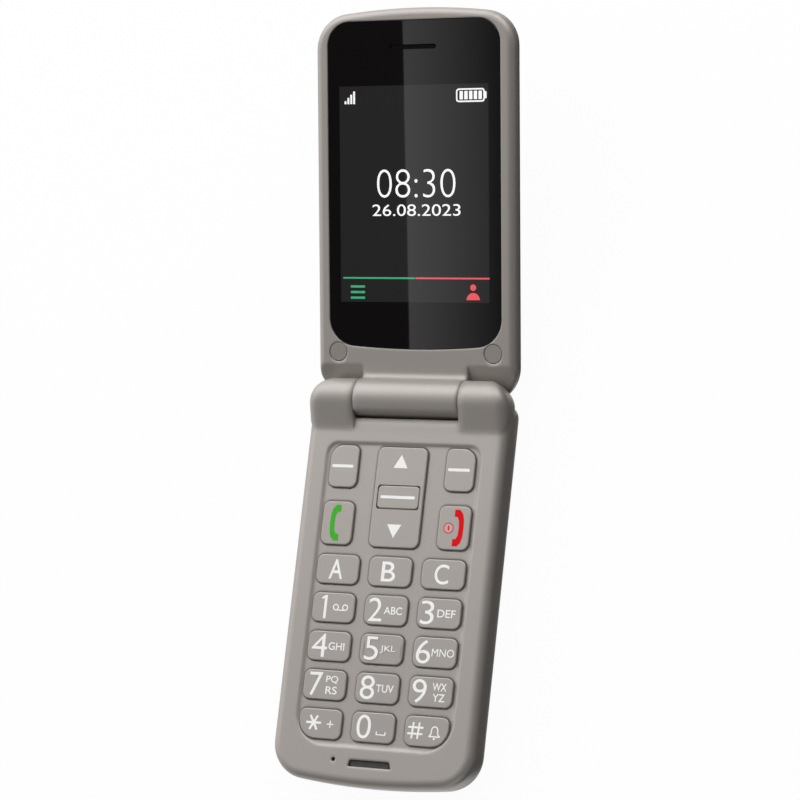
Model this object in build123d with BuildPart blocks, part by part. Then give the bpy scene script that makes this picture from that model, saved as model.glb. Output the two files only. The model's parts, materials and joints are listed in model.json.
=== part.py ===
"""Clamshell mobile phone with large keys, lying open on its back.

Lengths are in millimetres. The origin is the middle of the base's back, +Z points out of
the keypad, +Y runs from the keypad to the hinge and +X is to the right. The lid is open
against its stop and leans up from the hinge. The base and the keys are drawn on planes
whose own origin lies under the hinge axis, and the lid on planes that tilt with the lid.
"""

import os
from math import acos, cos, degrees, radians, sin, sqrt

from build123d import *

# ---- overall sizes -------------------------------------------------------------------
WIDTH = 57.5
BASE_REACH = 103.5          # hinge axis to the far end of the base
LID_REACH = 103.8           # hinge axis to the far end of the lid
BASE_T = 11.2
LID_T = 7.4
CLOSED_GAP = 0.4            # between the two faces when the phone is shut
OPEN_ANGLE = 163.7          # turn of the lid from shut to open
END_R = 180.0               # arch of both far ends
END_CORNER = 9.5
BARREL_R = 5.2
REAR_WALL = 0.3             # base's end wall behind the hinge axis
LID_END = -1.0              # lid's end, measured along the lid from the axis

# ---- clearances and walls ------------------------------------------------------------
FIT = 0.02                  # seated pieces of one body
RUN = 0.06                  # shaft in a bush, radial
SLIDE = 0.12                # pieces that slide past each other
SWING = 0.35                # lid and base where they swing past each other
SEAT = 0.1                  # inner pieces beside each other
WALL = 1.4

# ---- edges ---------------------------------------------------------------------------
BASE_EDGE = 2.4
BACK_EDGE = 4.1
BACK_DRAFT = 10             # degrees that the back shell's sides lean in
LID_EDGE = 2.0
LID_BACK_EDGE = 3.8
LID_NEAR_CORNER = 9.5
BASE_NEAR_CORNER = 4.0
KNUCKLE_CORNER = 8.4

# ---- hinge ---------------------------------------------------------------------------
BARREL_HALF = 15.15         # half the barrel's length
BARREL_GAP = 0.2            # barrel to knuckle, along the axis
RAMP_ANGLE = 24.0           # knuckle's slope down to the keypad face
FACET = 2.2                 # flat on the barrel's front
FACET_ROUND = 1.2           # barrel's front edge
FACE_BLEND = 1.5            # lid face into the barrel
LIP_ROUND = 0.5             # keypad face into the barrel's pocket
CARTRIDGE_R = 3.3
CARTRIDGE_FLATS = 5.6
CARTRIDGE_FROM = 3.2
SHAFT_R = 1.5
SHAFT_FROM = 6.4
SHAFT_HEAD_R = 2.8
SHAFT_HEAD_FLATS = 4.2
SHAFT_HEAD_L = 4.2
BUSH_R = 2.6
BUSH_BORE_R = 2.0
BUSH_IN = 9.0               # inner end of the bush in the barrel
BUSH_OUT = WIDTH / 2 - 8.35  # outer end of the bush in the knuckle
ROLL_R = 1.75               # flex cable rolled inside the bush
FLEX_T = 0.16
FLEX_W = 5.6
FLEX_TAB_W = 9.0            # the flex cable's plug on the main board
FLEX_TAB_L = 3.0
FLEX_IN = 2.0               # inner edge of the flex cable's tail, from the middle

# ---- keypad --------------------------------------------------------------------------
TRAY_DEPTH = 0.5
TRAY_SLOPE = 57             # degrees that the tray's edge leans out
TRAY_SKIN = 1.0
TRAY_SIDE = 6.15            # housing's side to the tray
TRAY_FAR = 9.9              # housing's far end to the tray
TRAY_HALF = WIDTH / 2 - TRAY_SIDE
TRAY_TOP = -12.3            # along the base, from the hinge axis
TRAY_BOTTOM = TRAY_FAR - BASE_REACH
TRAY_CORNER = 3.5
TRAY_LOW_CORNER = 8.5
KEY_RISE = 0.15             # key top above the keypad face
KEY_GAP = 0.16
KEY_FLANGE = 0.5
KEY_FLANGE_T = 0.5
KEY_EDGE = 0.35
KEY_TRAVEL = 0.35
COLUMNS = 3
ROWS = 5
KEYS_SIDE = 1.22            # tray's side to the number keys
KEYS_FAR = 1.71             # tray's far end to the number keys
KEYS_TOP = -42.95           # upper edge of the letter keys
KEY_SPACE_X = 2.93
KEY_SPACE_Y = 2.36
KEY_W = (2 * (TRAY_HALF - KEYS_SIDE) - (COLUMNS - 1) * KEY_SPACE_X) / COLUMNS
KEY_H = (KEYS_TOP - TRAY_BOTTOM - KEYS_FAR - (ROWS - 1) * KEY_SPACE_Y) / ROWS
KEY_PITCH_X = KEY_W + KEY_SPACE_X
KEY_PITCH_Y = KEY_H + KEY_SPACE_Y
LETTER_ROW = KEYS_TOP - KEY_H / 2
KEY_CORNER = 2.0
KEY_WIDE_CORNER = 0.633 * KEY_H
SIDE_COLUMN = TRAY_HALF - 5.75
SOFT_W = TRAY_HALF - 14.3
SOFT_H = 11.5
SOFT_WIDE_CORNER = 0.446 * SOFT_W
SOFT_ROW = -19.1
CALL_W = TRAY_HALF - 13.6
CALL_H = 11.7
CALL_ROW = -34.5
NAV_SIDE = 8.2              # half of what the tray leaves beside this key
NAV_W = TRAY_HALF - NAV_SIDE
NAV_H = 27.0
NAV_Y = -27.0
OK_SIDE = 1.2
OK_W = NAV_W - 2 * OK_SIDE
OK_H = 6.2
OK_CORNER = 1.2
OK_HOLE_CORNER = 0.8
RIDGE_H = 0.12
RIDGE_L = 3.4
RIDGE_W = 0.5
MAT_T = 0.5
DOME_R = 2.4
DOME_H = 0.32
DOME_SHEET_T = 0.18

# ---- inside the base -----------------------------------------------------------------
FLOOR_T = 1.3
BOARD_T = 1.0
BATTERY_SIDE = 9.75         # housing's side to the battery's
BATTERY_W = WIDTH - 2 * BATTERY_SIDE
BATTERY_T = 3.8
BATTERY_NEAR = -42.0
BATTERY_END = 11.5          # housing's far end to the battery's
BATTERY_FAR = BATTERY_END - BASE_REACH
BATTERY_L = BATTERY_NEAR - BATTERY_FAR
BATTERY_CORNER = 2.0
BATTERY_EDGE = 0.6
BLADE_T = 0.3               # battery contact
BLADE_W = 1.6
BLADE_PITCH = 4.0
TUB_WALL = 0.9
TUB_ROOM = 0.3              # bay beyond the battery
COVER_T = 1.2
COVER_SIDE = 6.75           # housing's side to the battery cover's
COVER_HALF = WIDTH / 2 - COVER_SIDE
COVER_TONGUE = 0.9
COVER_TONGUE_T = 0.6
COVER_TOP = -38.0
BOSS_R = 2.2
BOSS_NEAR_X = WIDTH / 2 - 4.45
BOSS_NEAR = -13.4
BOSS_FAR_X = WIDTH / 2 - 9.75
BOSS_FAR = 6.3 - BASE_REACH
SCREW_R = 0.7
SCREW_HEAD_R = 1.5
SCREW_HEAD_T = 0.8
SCREW_L = 6.0
SLOT_W = 12.3
SLOT_TOP_W = 11.4
SLOT_H = 1.8
SLOT_CORNER = 0.6
SLOT_Y = 6.0 - BASE_REACH
SPEAKER_BOX_W = 15.0
SPEAKER_BOX_L = 6.6
MIC_X = -10.4
MIC_Y = 6.6 - BASE_REACH
MIC_R = 0.55
MIC_BODY_R = 1.5
ANTENNA_W = 24.0
ANTENNA_L = 6.4
ANTENNA_WALL = 0.8
CONTACT_X = WIDTH / 2 - 12.95
CONTACT_W = 2.4
CONTACT_H = 1.2
CONTACT_Z = 2.9
CAN_X = WIDTH / 4 - 1.875   # shield can
CAN_Y = -27.5
CAN_W = WIDTH / 2 - 10.75
CAN_L = 19.0
CAN_H = 2.8
SHEET_T = 0.3               # pressed steel
SIM_X = -WIDTH / 4 - 0.625
SIM_W = WIDTH / 2 - 14.75
SIM_L = 17.0
SIM_H = 1.6
MOTOR_X = 15.75 - WIDTH / 2
MOTOR_Y = -17.6
MOTOR_R = 4.0
MOTOR_T = 2.7
USB_Y = -44.0
USB_W = 7.6
USB_H = 2.4
USB_L = 5.6
USB_TONGUE_W = 4.4
USB_TONGUE_T = 0.7
VOLUME_Y = -24.0
VOLUME_L = 15.0
VOLUME_H = 3.2
VOLUME_RISE = 0.5
SOS_Y = -23.0
SOS_W = 11.0
SOS_H = 7.0
SOS_SINK = 0.3
SOS_TRAVEL = 0.4
SOS_POST_R = 1.3
SWITCH_W = 4.0
SWITCH_T = 0.8
HEAD_Z = 1.6                # screw heads sit this far in from the back
PLATE_T = 0.9               # rear housing behind the battery cover

# ---- lid -----------------------------------------------------------------------------
LID_SEAM_DROP = 0.3         # lid's parting line behind the barrel
WINDOW_HALF = WIDTH / 2 - 3.75
WINDOW_TOP = LID_REACH - 3.3
WINDOW_BOTTOM = 13.1
WINDOW_BOTTOM_R = 213.0
WINDOW_TOP_CORNER = 6.4
WINDOW_LOW_CORNER = 7.5
WINDOW_T = 1.0
SHELF_T = 0.8
LCD_W = 2 * WINDOW_HALF - 3.4
LCD_L = LID_REACH - 39.8
LCD_T = 1.5
LCD_S = LID_REACH / 2 + 2.6  # middle of the display along the lid
LCD_DEPTH = 1.5             # display surface behind the lid's face
BRACKET_T = 0.4
BRACKET_LIP_X = 2.3         # bracket beyond the display
BRACKET_LIP_Y = 2.0
LID_BOARD_T = 0.8
LID_BOARD_SIDE = 7.75
LID_BOARD_SPAN = WIDTH - 2 * LID_BOARD_SIDE
LID_BOARD_NEAR = 4.0        # screw caps to the lid's board
EAR_S = LID_REACH - 10.4
EAR_W = 13.6
EAR_H = 1.3
SPEAKER_W = 12.0
SPEAKER_L = 6.4
CAP_X = WIDTH / 2 - 6.2
CAP_S = 12.2
CAP_R = 2.55
CAP_T = 0.8
MAGNET_X = WIDTH / 2 - 9.75
MAGNET_S = LID_REACH - 10.2
MAGNET_W = 6.0
MAGNET_L = 3.0
CAMERA_S = LID_REACH - 14.8
CAMERA_R = 3.6
CAMERA_BODY = 7.0
LID_WALL = 1.1

# ---- worked-out levels ---------------------------------------------------------------
AXIS_Z = (BASE_T + CLOSED_GAP + LID_T) / 2      # the axis halves the shut phone
HINGE_Y = BASE_REACH / 2                        # the origin halves the base
LEAN = 180 - OPEN_ANGLE                         # open lid above level
SEAM_Z = AXIS_Z - BARREL_R                      # base's parting line
FACE_W = AXIS_Z - BASE_T - CLOSED_GAP           # lid's face, off the axis along its normal
BACK_W = FACE_W - LID_T
LID_SEAM_W = -BARREL_R - LID_SEAM_DROP
FACE_H = BASE_T - AXIS_Z                        # keypad face above the axis
TIP_R = sqrt(BARREL_R**2 + FACET**2)            # barrel's front edge
POCKET_R = TIP_R + 0.7 * SWING
KNUCKLE_X = BARREL_HALF + BARREL_GAP
TRAY_Z = BASE_T - TRAY_DEPTH
SKIN_Z = TRAY_Z - TRAY_SKIN                     # underside of the keypad's skin
KEY_TOP = BASE_T + KEY_RISE
FLANGE_Z = SKIN_Z - 0.05
KEY_FOOT = FLANGE_Z - KEY_FLANGE_T
MAT_Z = KEY_FOOT - KEY_TRAVEL - 0.05            # top of the keypad mat
DOME_Z = MAT_Z - MAT_T - 0.05 - DOME_H          # top of the dome sheet
BOARD_Z = DOME_Z - DOME_SHEET_T                 # top of the main board
TUB_Z = BOARD_Z - BOARD_T - 0.2                 # top of the battery tub
BAY_Z = TUB_Z - TUB_WALL
BATTERY_Z = COVER_T + 0.3
BAY_HALF = BATTERY_W / 2 + TUB_ROOM
BAY_FAR = BATTERY_FAR - TUB_ROOM
BAY_NEAR = BATTERY_NEAR + 1.6                   # room for the battery's contacts
WINDOW_W = FACE_W - WINDOW_T
SHELF_W = WINDOW_W - 0.05 - SHELF_T             # underside of the shelf that holds the window
LCD_TOP_W = FACE_W - LCD_DEPTH
BRACKET_W = LCD_TOP_W - LCD_T - 0.05            # top of the display bracket
LID_BOARD_W = BRACKET_W - BRACKET_T - 0.3       # top of the lid's board
VOLUME_Z = SEAM_Z + 2.2
BOARD_LOW = BOARD_Z - BOARD_T


def base_at(z):
    """Level plane at height z, with its origin under the hinge axis."""
    return Plane(origin=(0, HINGE_Y, z))


LID = Plane(
    origin=(0, HINGE_Y, AXIS_Z),
    x_dir=(1, 0, 0),
    z_dir=(0, -sin(radians(LEAN)), cos(radians(LEAN))),
)


LID_AXIS = Axis((0, HINGE_Y, AXIS_Z), LID.z_dir)


def lid_at(w):
    """Plane along the lid, w off the hinge axis towards the viewer of the display."""
    return LID.offset(w)


def base_section(x):
    """Side view of the base at x: local x runs along +Y and local y along +Z."""
    return Plane(origin=(x, HINGE_Y, AXIS_Z), x_dir=(0, 1, 0), z_dir=(1, 0, 0))


def lid_section(x):
    """Side view of the lid at x: local x runs along the lid and local y along its normal."""
    return Plane(origin=(x, HINGE_Y, AXIS_Z), x_dir=LID.y_dir, z_dir=(1, 0, 0))


def half_plan(far, near, near_corner):
    """Plan of one half of the phone: straight sides, an arched far end, a straight hinge end."""
    half = WIDTH / 2
    side = 1 if far > 0 else -1
    shoulder = far - side * (END_R - sqrt(END_R**2 - half**2))
    far_group = -1 if far > 0 else 0
    with BuildSketch() as plan:
        with BuildLine():
            Polyline((-half, shoulder), (-half, near), (half, near), (half, shoulder))
            ThreePointArc((half, shoulder), (0, far), (-half, shoulder))
        make_face()
        fillet(plan.vertices().group_by(Axis.Y)[far_group], END_CORNER)
        fillet(plan.vertices().group_by(Axis.Y)[-1 - far_group], near_corner)
    return plan.sketch


def shrunk(sketch, amount):
    """The same outline, moved in by amount, or out where amount is negative."""
    with BuildSketch() as smaller:
        add(sketch)
        offset(amount=-amount)
    return smaller.sketch


def block(plane, x, y, low, high):
    """Box between two corners (x, y) on a plane, from low to high along its normal."""
    with BuildPart(mode=Mode.PRIVATE) as solid:
        with BuildSketch(plane.offset(low)):
            with Locations(((x[0] + x[1]) / 2, (y[0] + y[1]) / 2)):
                Rectangle(x[1] - x[0], y[1] - y[0])
        extrude(amount=high - low)
    return solid.part


def polar(radius, angle):
    """Point at a distance and an angle from the hinge axis, on a side view."""
    return radius * cos(radians(angle)), radius * sin(radians(angle))


def nose(tip_angle, tip_r):
    """Corners of the wedge that joins the barrel's round to a tip by its two tangents."""
    spread = degrees(acos(BARREL_R / tip_r))
    tangents = [polar(BARREL_R, tip_angle - spread), polar(BARREL_R, tip_angle + spread)]
    return [tangents[0], polar(tip_r, tip_angle), tangents[1], (0, 0)]


def strip(plane, points, thickness, width):
    """Bent strip of sheet: a line drawn on a side view, given a thickness and a width."""
    with BuildPart(mode=Mode.PRIVATE) as bent:
        with BuildSketch(plane):
            with BuildLine():
                Polyline(*points)
            trace(line_width=thickness)
        extrude(amount=width)
    return bent.part


def write(builder, name):
    builder.part.label = name
    export_step(builder.part, f"parts/{name}.step")


os.makedirs("parts", exist_ok=True)

# ======================================================================================
# Outlines
# ======================================================================================
low_plan = half_plan(-BASE_REACH, REAR_WALL, BASE_NEAR_CORNER)
knuckle_plan = half_plan(-BASE_REACH, BARREL_R + 0.4, KNUCKLE_CORNER)
lid_plan = half_plan(LID_REACH, LID_END, LID_NEAR_CORNER)
low_hollow = shrunk(low_plan, WALL)
lid_hollow = shrunk(lid_plan, WALL)

boss_spots = [
    (side * x, y) for side in (-1, 1) for x, y in ((BOSS_NEAR_X, BOSS_NEAR), (BOSS_FAR_X, BOSS_FAR))
]
ramp_foot = (FACE_H * cos(radians(RAMP_ANGLE)) - BARREL_R) / sin(radians(RAMP_ANGLE))
hollow_near = ramp_foot - 0.6               # the base is hollow from here to its far end
lid_hollow_near = -ramp_foot + 1.2

with BuildSketch() as tray_draft:
    with Locations((0, (TRAY_TOP + TRAY_BOTTOM) / 2)):
        Rectangle(2 * TRAY_HALF, TRAY_TOP - TRAY_BOTTOM)
    fillet(tray_draft.vertices().group_by(Axis.Y)[0], TRAY_LOW_CORNER)
    fillet(tray_draft.vertices().group_by(Axis.Y)[-1], TRAY_CORNER)
tray_plan = tray_draft.sketch


def key_outline(x, y, width, height, wide_corner=None, toward=(0, 0), corner=KEY_CORNER):
    """A key seen from above; the corner that lies toward the given side may be rounder."""
    with BuildSketch() as outline:
        Rectangle(width, height)
        if wide_corner:
            spot = (toward[0] * width, toward[1] * height, 0)
            fillet(outline.vertices().sort_by_distance(spot)[0], wide_corner)
            fillet(outline.vertices().sort_by_distance(spot)[-3:], corner)
        else:
            fillet(outline.vertices(), corner)
    return Pos(x, y) * outline.sketch


key_plans = {
    "soft_key_left": key_outline(
        -SIDE_COLUMN, SOFT_ROW, SOFT_W, SOFT_H, SOFT_WIDE_CORNER, toward=(-1, 1)
    ),
    "soft_key_right": key_outline(
        SIDE_COLUMN, SOFT_ROW, SOFT_W, SOFT_H, SOFT_WIDE_CORNER, toward=(1, 1)
    ),
    "call_key": key_outline(-SIDE_COLUMN, CALL_ROW, CALL_W, CALL_H),
    "end_key": key_outline(SIDE_COLUMN, CALL_ROW, CALL_W, CALL_H),
}
rows = [
    ["key_a", "key_b", "key_c"],
    ["key_1", "key_2", "key_3"],
    ["key_4", "key_5", "key_6"],
    ["key_7", "key_8", "key_9"],
    ["key_star", "key_0", "key_hash"],
]
for row, names in enumerate(rows):
    for column, name in enumerate(names):
        side = column - 1
        rounder = KEY_WIDE_CORNER if name in ("key_star", "key_hash") else None
        key_plans[name] = key_outline(
            side * KEY_PITCH_X, LETTER_ROW - row * KEY_PITCH_Y, KEY_W, KEY_H,
            rounder, toward=(side, -1),
        )
nav_plan = key_outline(0, NAV_Y, NAV_W, NAV_H)
ok_plan = key_outline(0, NAV_Y, OK_W, OK_H, corner=OK_CORNER)
ok_hole = key_outline(
    0, NAV_Y, OK_W + 2 * KEY_GAP, OK_H + 2 * KEY_GAP, corner=OK_HOLE_CORNER
)

window_middle = WINDOW_BOTTOM + WINDOW_BOTTOM_R
window_side = window_middle - sqrt(WINDOW_BOTTOM_R**2 - WINDOW_HALF**2)
with BuildSketch() as window_draft:
    with BuildLine():
        Polyline(
            (-WINDOW_HALF, window_side), (-WINDOW_HALF, WINDOW_TOP),
            (WINDOW_HALF, WINDOW_TOP), (WINDOW_HALF, window_side),
        )
        ThreePointArc((WINDOW_HALF, window_side), (0, WINDOW_BOTTOM), (-WINDOW_HALF, window_side))
    make_face()
    fillet(window_draft.vertices().group_by(Axis.Y)[0], WINDOW_LOW_CORNER)
    fillet(window_draft.vertices().group_by(Axis.Y)[-1], WINDOW_TOP_CORNER)
window_plan = window_draft.sketch

with BuildSketch() as slot_draft:
    Polygon(
        (-SLOT_W / 2, -SLOT_H / 2), (SLOT_W / 2, -SLOT_H / 2),
        (SLOT_TOP_W / 2, SLOT_H / 2), (-SLOT_TOP_W / 2, SLOT_H / 2),
    )
    fillet(slot_draft.vertices().group_by(Axis.Y)[-1], SLOT_CORNER)
    fillet(slot_draft.vertices().group_by(Axis.Y)[0], SLOT_CORNER / 3)
slot_plan = Pos(0, SLOT_Y) * slot_draft.sketch

usb_mouth = -WIDTH / 2 + 0.4

# side view of the space that the knuckle sweeps in the shut lid: a ramp behind its slope
clear_r = BARREL_R + SWING
scoop_mouth = (clear_r + FACE_W * cos(radians(RAMP_ANGLE))) / sin(radians(RAMP_ANGLE))
scoop = [
    (-clear_r, 0), (clear_r * sin(radians(RAMP_ANGLE)), -clear_r * cos(radians(RAMP_ANGLE))),
    (scoop_mouth, FACE_W), (scoop_mouth + 1, FACE_W + 1), (scoop_mouth + 1, clear_r),
    (-clear_r, clear_r),
]
facet_tip_angle = 90 + RAMP_ANGLE - LEAN + degrees(acos(BARREL_R / TIP_R))

# ======================================================================================
# Base: front housing with the hinge knuckles
# ======================================================================================
ramp_tip_r = sqrt(ramp_foot**2 + FACE_H**2)
ramp_tip_angle = 180 - degrees(acos(-ramp_foot / ramp_tip_r))
with BuildPart() as knuckles:
    with BuildSketch(base_section(KNUCKLE_X)):
        Circle(BARREL_R)
        Polygon(*nose(ramp_tip_angle, ramp_tip_r), align=None)
    extrude(amount=WIDTH / 2 - KNUCKLE_X + 1)
    mirror(about=Plane.YZ)
    with BuildSketch(base_at(0)):
        add(knuckle_plan)
    extrude(amount=BASE_T + 2 * BARREL_R, mode=Mode.INTERSECT)
    # round the outer ends, over the top and down the back
    ends = knuckles.edges().filter_by(Axis.X, reverse=True).filter_by(
        lambda edge: abs(edge.center().X) > WIDTH / 2 - KNUCKLE_CORNER
        and (edge.center().Z > BASE_T or edge.center().Y > HINGE_Y + BARREL_R / 2)
    )
    fillet(ends, BASE_EDGE)

with BuildPart() as front_housing:
    with BuildSketch(base_at(SEAM_Z)):
        add(low_plan)
    extrude(amount=BASE_T - SEAM_Z)
    fillet(front_housing.faces().sort_by(Axis.Z)[-1].edges(), BASE_EDGE)
    add(knuckles.part)
    # pocket in which the lid's barrel turns
    with BuildSketch(base_section(-KNUCKLE_X)):
        Circle(POCKET_R)
    extrude(amount=2 * KNUCKLE_X, mode=Mode.SUBTRACT)
    pocket_lip = (0, HINGE_Y - sqrt(POCKET_R**2 - FACE_H**2), BASE_T)
    fillet(front_housing.edges().sort_by_distance(pocket_lip)[0], LIP_ROUND)
    # hollow, with the screw bosses left in it
    with BuildSketch(base_at(SEAM_Z)):
        add(low_hollow)
        with Locations((0, hollow_near - BASE_REACH)):
            Rectangle(WIDTH, 2 * BASE_REACH, mode=Mode.INTERSECT)
        with Locations(*boss_spots):
            Circle(BOSS_R, mode=Mode.SUBTRACT)
    extrude(amount=SKIN_Z - SEAM_Z, mode=Mode.SUBTRACT)
    with BuildSketch(base_at(SEAM_Z)):
        with Locations(*boss_spots):
            Circle(SCREW_R + FIT)
    extrude(amount=HEAD_Z + SCREW_HEAD_T + SCREW_L + 0.3 - SEAM_Z, mode=Mode.SUBTRACT)
    # shallow tray round the keys and the openings through its floor
    with BuildSketch(base_at(BASE_T)):
        add(tray_plan)
    extrude(amount=-TRAY_DEPTH, taper=TRAY_SLOPE, mode=Mode.SUBTRACT)
    with BuildSketch(base_at(SKIN_Z - 0.1)):
        for plan in [*key_plans.values(), nav_plan]:
            add(shrunk(plan, -KEY_GAP))
    extrude(amount=TRAY_SKIN + TRAY_DEPTH, mode=Mode.SUBTRACT)
    # sound slot and microphone hole
    with BuildSketch(base_at(BASE_T)):
        add(slot_plan)
        with Locations((MIC_X, MIC_Y)):
            Circle(MIC_R)
    extrude(amount=SKIN_Z - BASE_T, mode=Mode.SUBTRACT)
    # hinge seats: a flatted socket on the right, a through bore for the bush on the left
    with BuildSketch(base_section(KNUCKLE_X - 0.1)):
        Circle(SHAFT_HEAD_R + FIT)
        Rectangle(2 * BARREL_R, SHAFT_HEAD_FLATS + 2 * FIT, mode=Mode.INTERSECT)
    extrude(amount=SHAFT_HEAD_L + 0.3, mode=Mode.SUBTRACT)
    with BuildSketch(base_section(-BUSH_OUT - FLEX_W - 0.5)):
        Circle(BUSH_R + FIT)
    extrude(amount=BUSH_OUT - KNUCKLE_X + FLEX_W + 0.6, mode=Mode.SUBTRACT)
    # channel for the flex cable, from the bush to the board
    add(
        block(
            base_at(0), (-BUSH_OUT - FLEX_W - 0.3, -BUSH_OUT - 0.2), (hollow_near - 1, 0.8),
            BOARD_Z - 0.3, BOARD_Z + 1.0,
        ),
        mode=Mode.SUBTRACT,
    )
    # USB port and volume rocker, through the left wall
    add(
        block(
            base_at(BOARD_Z), (-WIDTH / 2 - 1, usb_mouth + USB_L + SEAT),
            (USB_Y - USB_W / 2 - SEAT, USB_Y + USB_W / 2 + SEAT), 0, USB_H + SEAT,
        ),
        mode=Mode.SUBTRACT,
    )
    with BuildSketch(Plane(origin=(-WIDTH / 2 - 1, HINGE_Y + VOLUME_Y, VOLUME_Z),
                           x_dir=(0, 1, 0), z_dir=(1, 0, 0))):
        RectangleRounded(VOLUME_L + 2 * SLIDE, VOLUME_H + 2 * SLIDE, VOLUME_H / 2)
    extrude(amount=1 + 2 * WALL, mode=Mode.SUBTRACT)
write(front_housing, "front_housing")

# ======================================================================================
# Base: rear housing and the battery cover
# ======================================================================================
with BuildPart() as rear_blank:
    with BuildSketch(base_at(SEAM_Z)):
        add(low_plan)
    extrude(amount=-SEAM_Z, taper=BACK_DRAFT)
    fillet(rear_blank.faces().sort_by(Axis.Z)[0].edges(), BACK_EDGE)

recess_z = COVER_T + 0.08
plate_z = recess_z + PLATE_T
cover_reach = -BASE_REACH - 5
with BuildPart() as rear_hollow:
    with BuildSketch(base_at(SEAM_Z)):
        add(low_hollow)
        with Locations((0, hollow_near - BASE_REACH)):
            Rectangle(WIDTH, 2 * BASE_REACH, mode=Mode.INTERSECT)
    extrude(amount=FLOOR_T - SEAM_Z, taper=BACK_DRAFT)
    fillet(rear_hollow.faces().sort_by(Axis.Z)[0].edges(), BACK_EDGE - WALL)
    add(
        block(base_at(0), (-WIDTH / 2, WIDTH / 2), (cover_reach, COVER_TOP + 1), 0, plate_z),
        mode=Mode.SUBTRACT,
    )

with BuildPart() as rear_housing:
    add(rear_blank.part)
    add(rear_hollow.part, mode=Mode.SUBTRACT)
    with BuildSketch(base_at(FLOOR_T / 2)):
        with Locations(*boss_spots):
            Circle(BOSS_R)
    extrude(amount=SEAM_Z - FLOOR_T / 2)
    # tub for the battery
    add(
        block(
            base_at(0), (-BAY_HALF - TUB_WALL, BAY_HALF + TUB_WALL),
            (BAY_FAR - TUB_WALL, BAY_NEAR + TUB_WALL), FLOOR_T, TUB_Z,
        )
    )
    add(
        block(base_at(0), (-BAY_HALF, BAY_HALF), (BAY_FAR, BAY_NEAR), -1, BAY_Z),
        mode=Mode.SUBTRACT,
    )
    add(
        block(
            base_at(0), (-BLADE_PITCH - 1.2, BLADE_PITCH + 1.2),
            (BAY_NEAR - 0.1, BAY_NEAR + TUB_WALL + 0.1), 2.4, 5.2,
        ),
        mode=Mode.SUBTRACT,
    )
    # recess and grooves of the sliding cover
    cover_top = COVER_TOP + SLIDE
    add(
        block(
            base_at(0), (-COVER_HALF - SLIDE, COVER_HALF + SLIDE), (cover_reach, cover_top),
            -1, recess_z,
        ),
        mode=Mode.SUBTRACT,
    )
    add(
        block(
            base_at(0),
            (-COVER_HALF - COVER_TONGUE - SLIDE, COVER_HALF + COVER_TONGUE + SLIDE),
            (cover_reach, cover_top), COVER_T - COVER_TONGUE_T - 0.08, recess_z,
        ),
        mode=Mode.SUBTRACT,
    )
    # screw holes, sunk so that the heads stay clear of the cover
    with BuildSketch(base_at(-1)):
        with Locations(*boss_spots):
            Circle(SCREW_HEAD_R + 0.15)
    extrude(amount=1 + HEAD_Z + SCREW_HEAD_T, mode=Mode.SUBTRACT)
    with BuildSketch(base_at(0)):
        with Locations(*boss_spots):
            Circle(SCREW_R + 0.15)
    extrude(amount=SEAM_Z + 1, mode=Mode.SUBTRACT)
    # opening of the emergency key
    with BuildSketch(base_at(-1)):
        with Locations((0, SOS_Y)):
            RectangleRounded(SOS_W + 2 * SLIDE, SOS_H + 2 * SLIDE, SOS_H / 2)
    extrude(amount=FLOOR_T + 2, mode=Mode.SUBTRACT)
    # charging contacts, through the far end wall
    for x in (-CONTACT_X, CONTACT_X):
        add(
            block(
                base_at(CONTACT_Z),
                (x - CONTACT_W / 2 - FIT, x + CONTACT_W / 2 + FIT),
                (cover_reach, BOSS_FAR - BOSS_R - 0.3),
                -CONTACT_H / 2 - FIT, CONTACT_H / 2 + FIT,
            ),
            mode=Mode.SUBTRACT,
        )
    with BuildSketch(base_section(-KNUCKLE_X)):
        Circle(POCKET_R)
    extrude(amount=2 * KNUCKLE_X, mode=Mode.SUBTRACT)
write(rear_housing, "rear_housing")

with BuildPart() as battery_cover:
    add(rear_blank.part)
    add(
        block(base_at(0), (-COVER_HALF, COVER_HALF), (cover_reach, COVER_TOP), -1, COVER_T)
        + block(
            base_at(0), (-COVER_HALF - COVER_TONGUE, COVER_HALF + COVER_TONGUE),
            (cover_reach, COVER_TOP), COVER_T - COVER_TONGUE_T, COVER_T,
        ),
        mode=Mode.INTERSECT,
    )
write(battery_cover, "battery_cover")

with BuildPart() as charge_contacts:
    add(rear_blank.part)
    add(
        [
            block(
                base_at(CONTACT_Z), (x - CONTACT_W / 2, x + CONTACT_W / 2),
                (cover_reach, BOSS_FAR - BOSS_R - 0.5), -CONTACT_H / 2, CONTACT_H / 2,
            )
            for x in (-CONTACT_X, CONTACT_X)
        ],
        mode=Mode.INTERSECT,
    )
write(charge_contacts, "charge_contacts")

# ======================================================================================
# Base: keys
# ======================================================================================
for name, plan in key_plans.items():
    with BuildPart() as key:
        with BuildSketch(base_at(KEY_FOOT)):
            add(plan)
        extrude(amount=KEY_TOP - KEY_FOOT)
        fillet(key.faces().sort_by(Axis.Z)[-1].edges(), KEY_EDGE)
        with BuildSketch(base_at(KEY_FOOT)):
            add(shrunk(plan, -KEY_FLANGE))
        extrude(amount=KEY_FLANGE_T)
        if name == "key_5":
            # two ridges that the thumb can find
            with BuildSketch(base_at(KEY_TOP)):
                with Locations((0, plan.center().Y)):
                    with GridLocations(KEY_W - 2 * KEY_EDGE - 2 * RIDGE_W, 1, 2, 1):
                        SlotOverall(RIDGE_L, RIDGE_W, rotation=90)
            extrude(amount=RIDGE_H)
    write(key, name)

with BuildPart() as nav_key:
    with BuildSketch(base_at(KEY_FOOT)):
        add(nav_plan)
        add(ok_hole, mode=Mode.SUBTRACT)
    extrude(amount=KEY_TOP - KEY_FOOT)
    fillet(nav_key.faces().sort_by(Axis.Z)[-1].outer_wire().edges(), KEY_EDGE)
write(nav_key, "nav_key")

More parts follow.
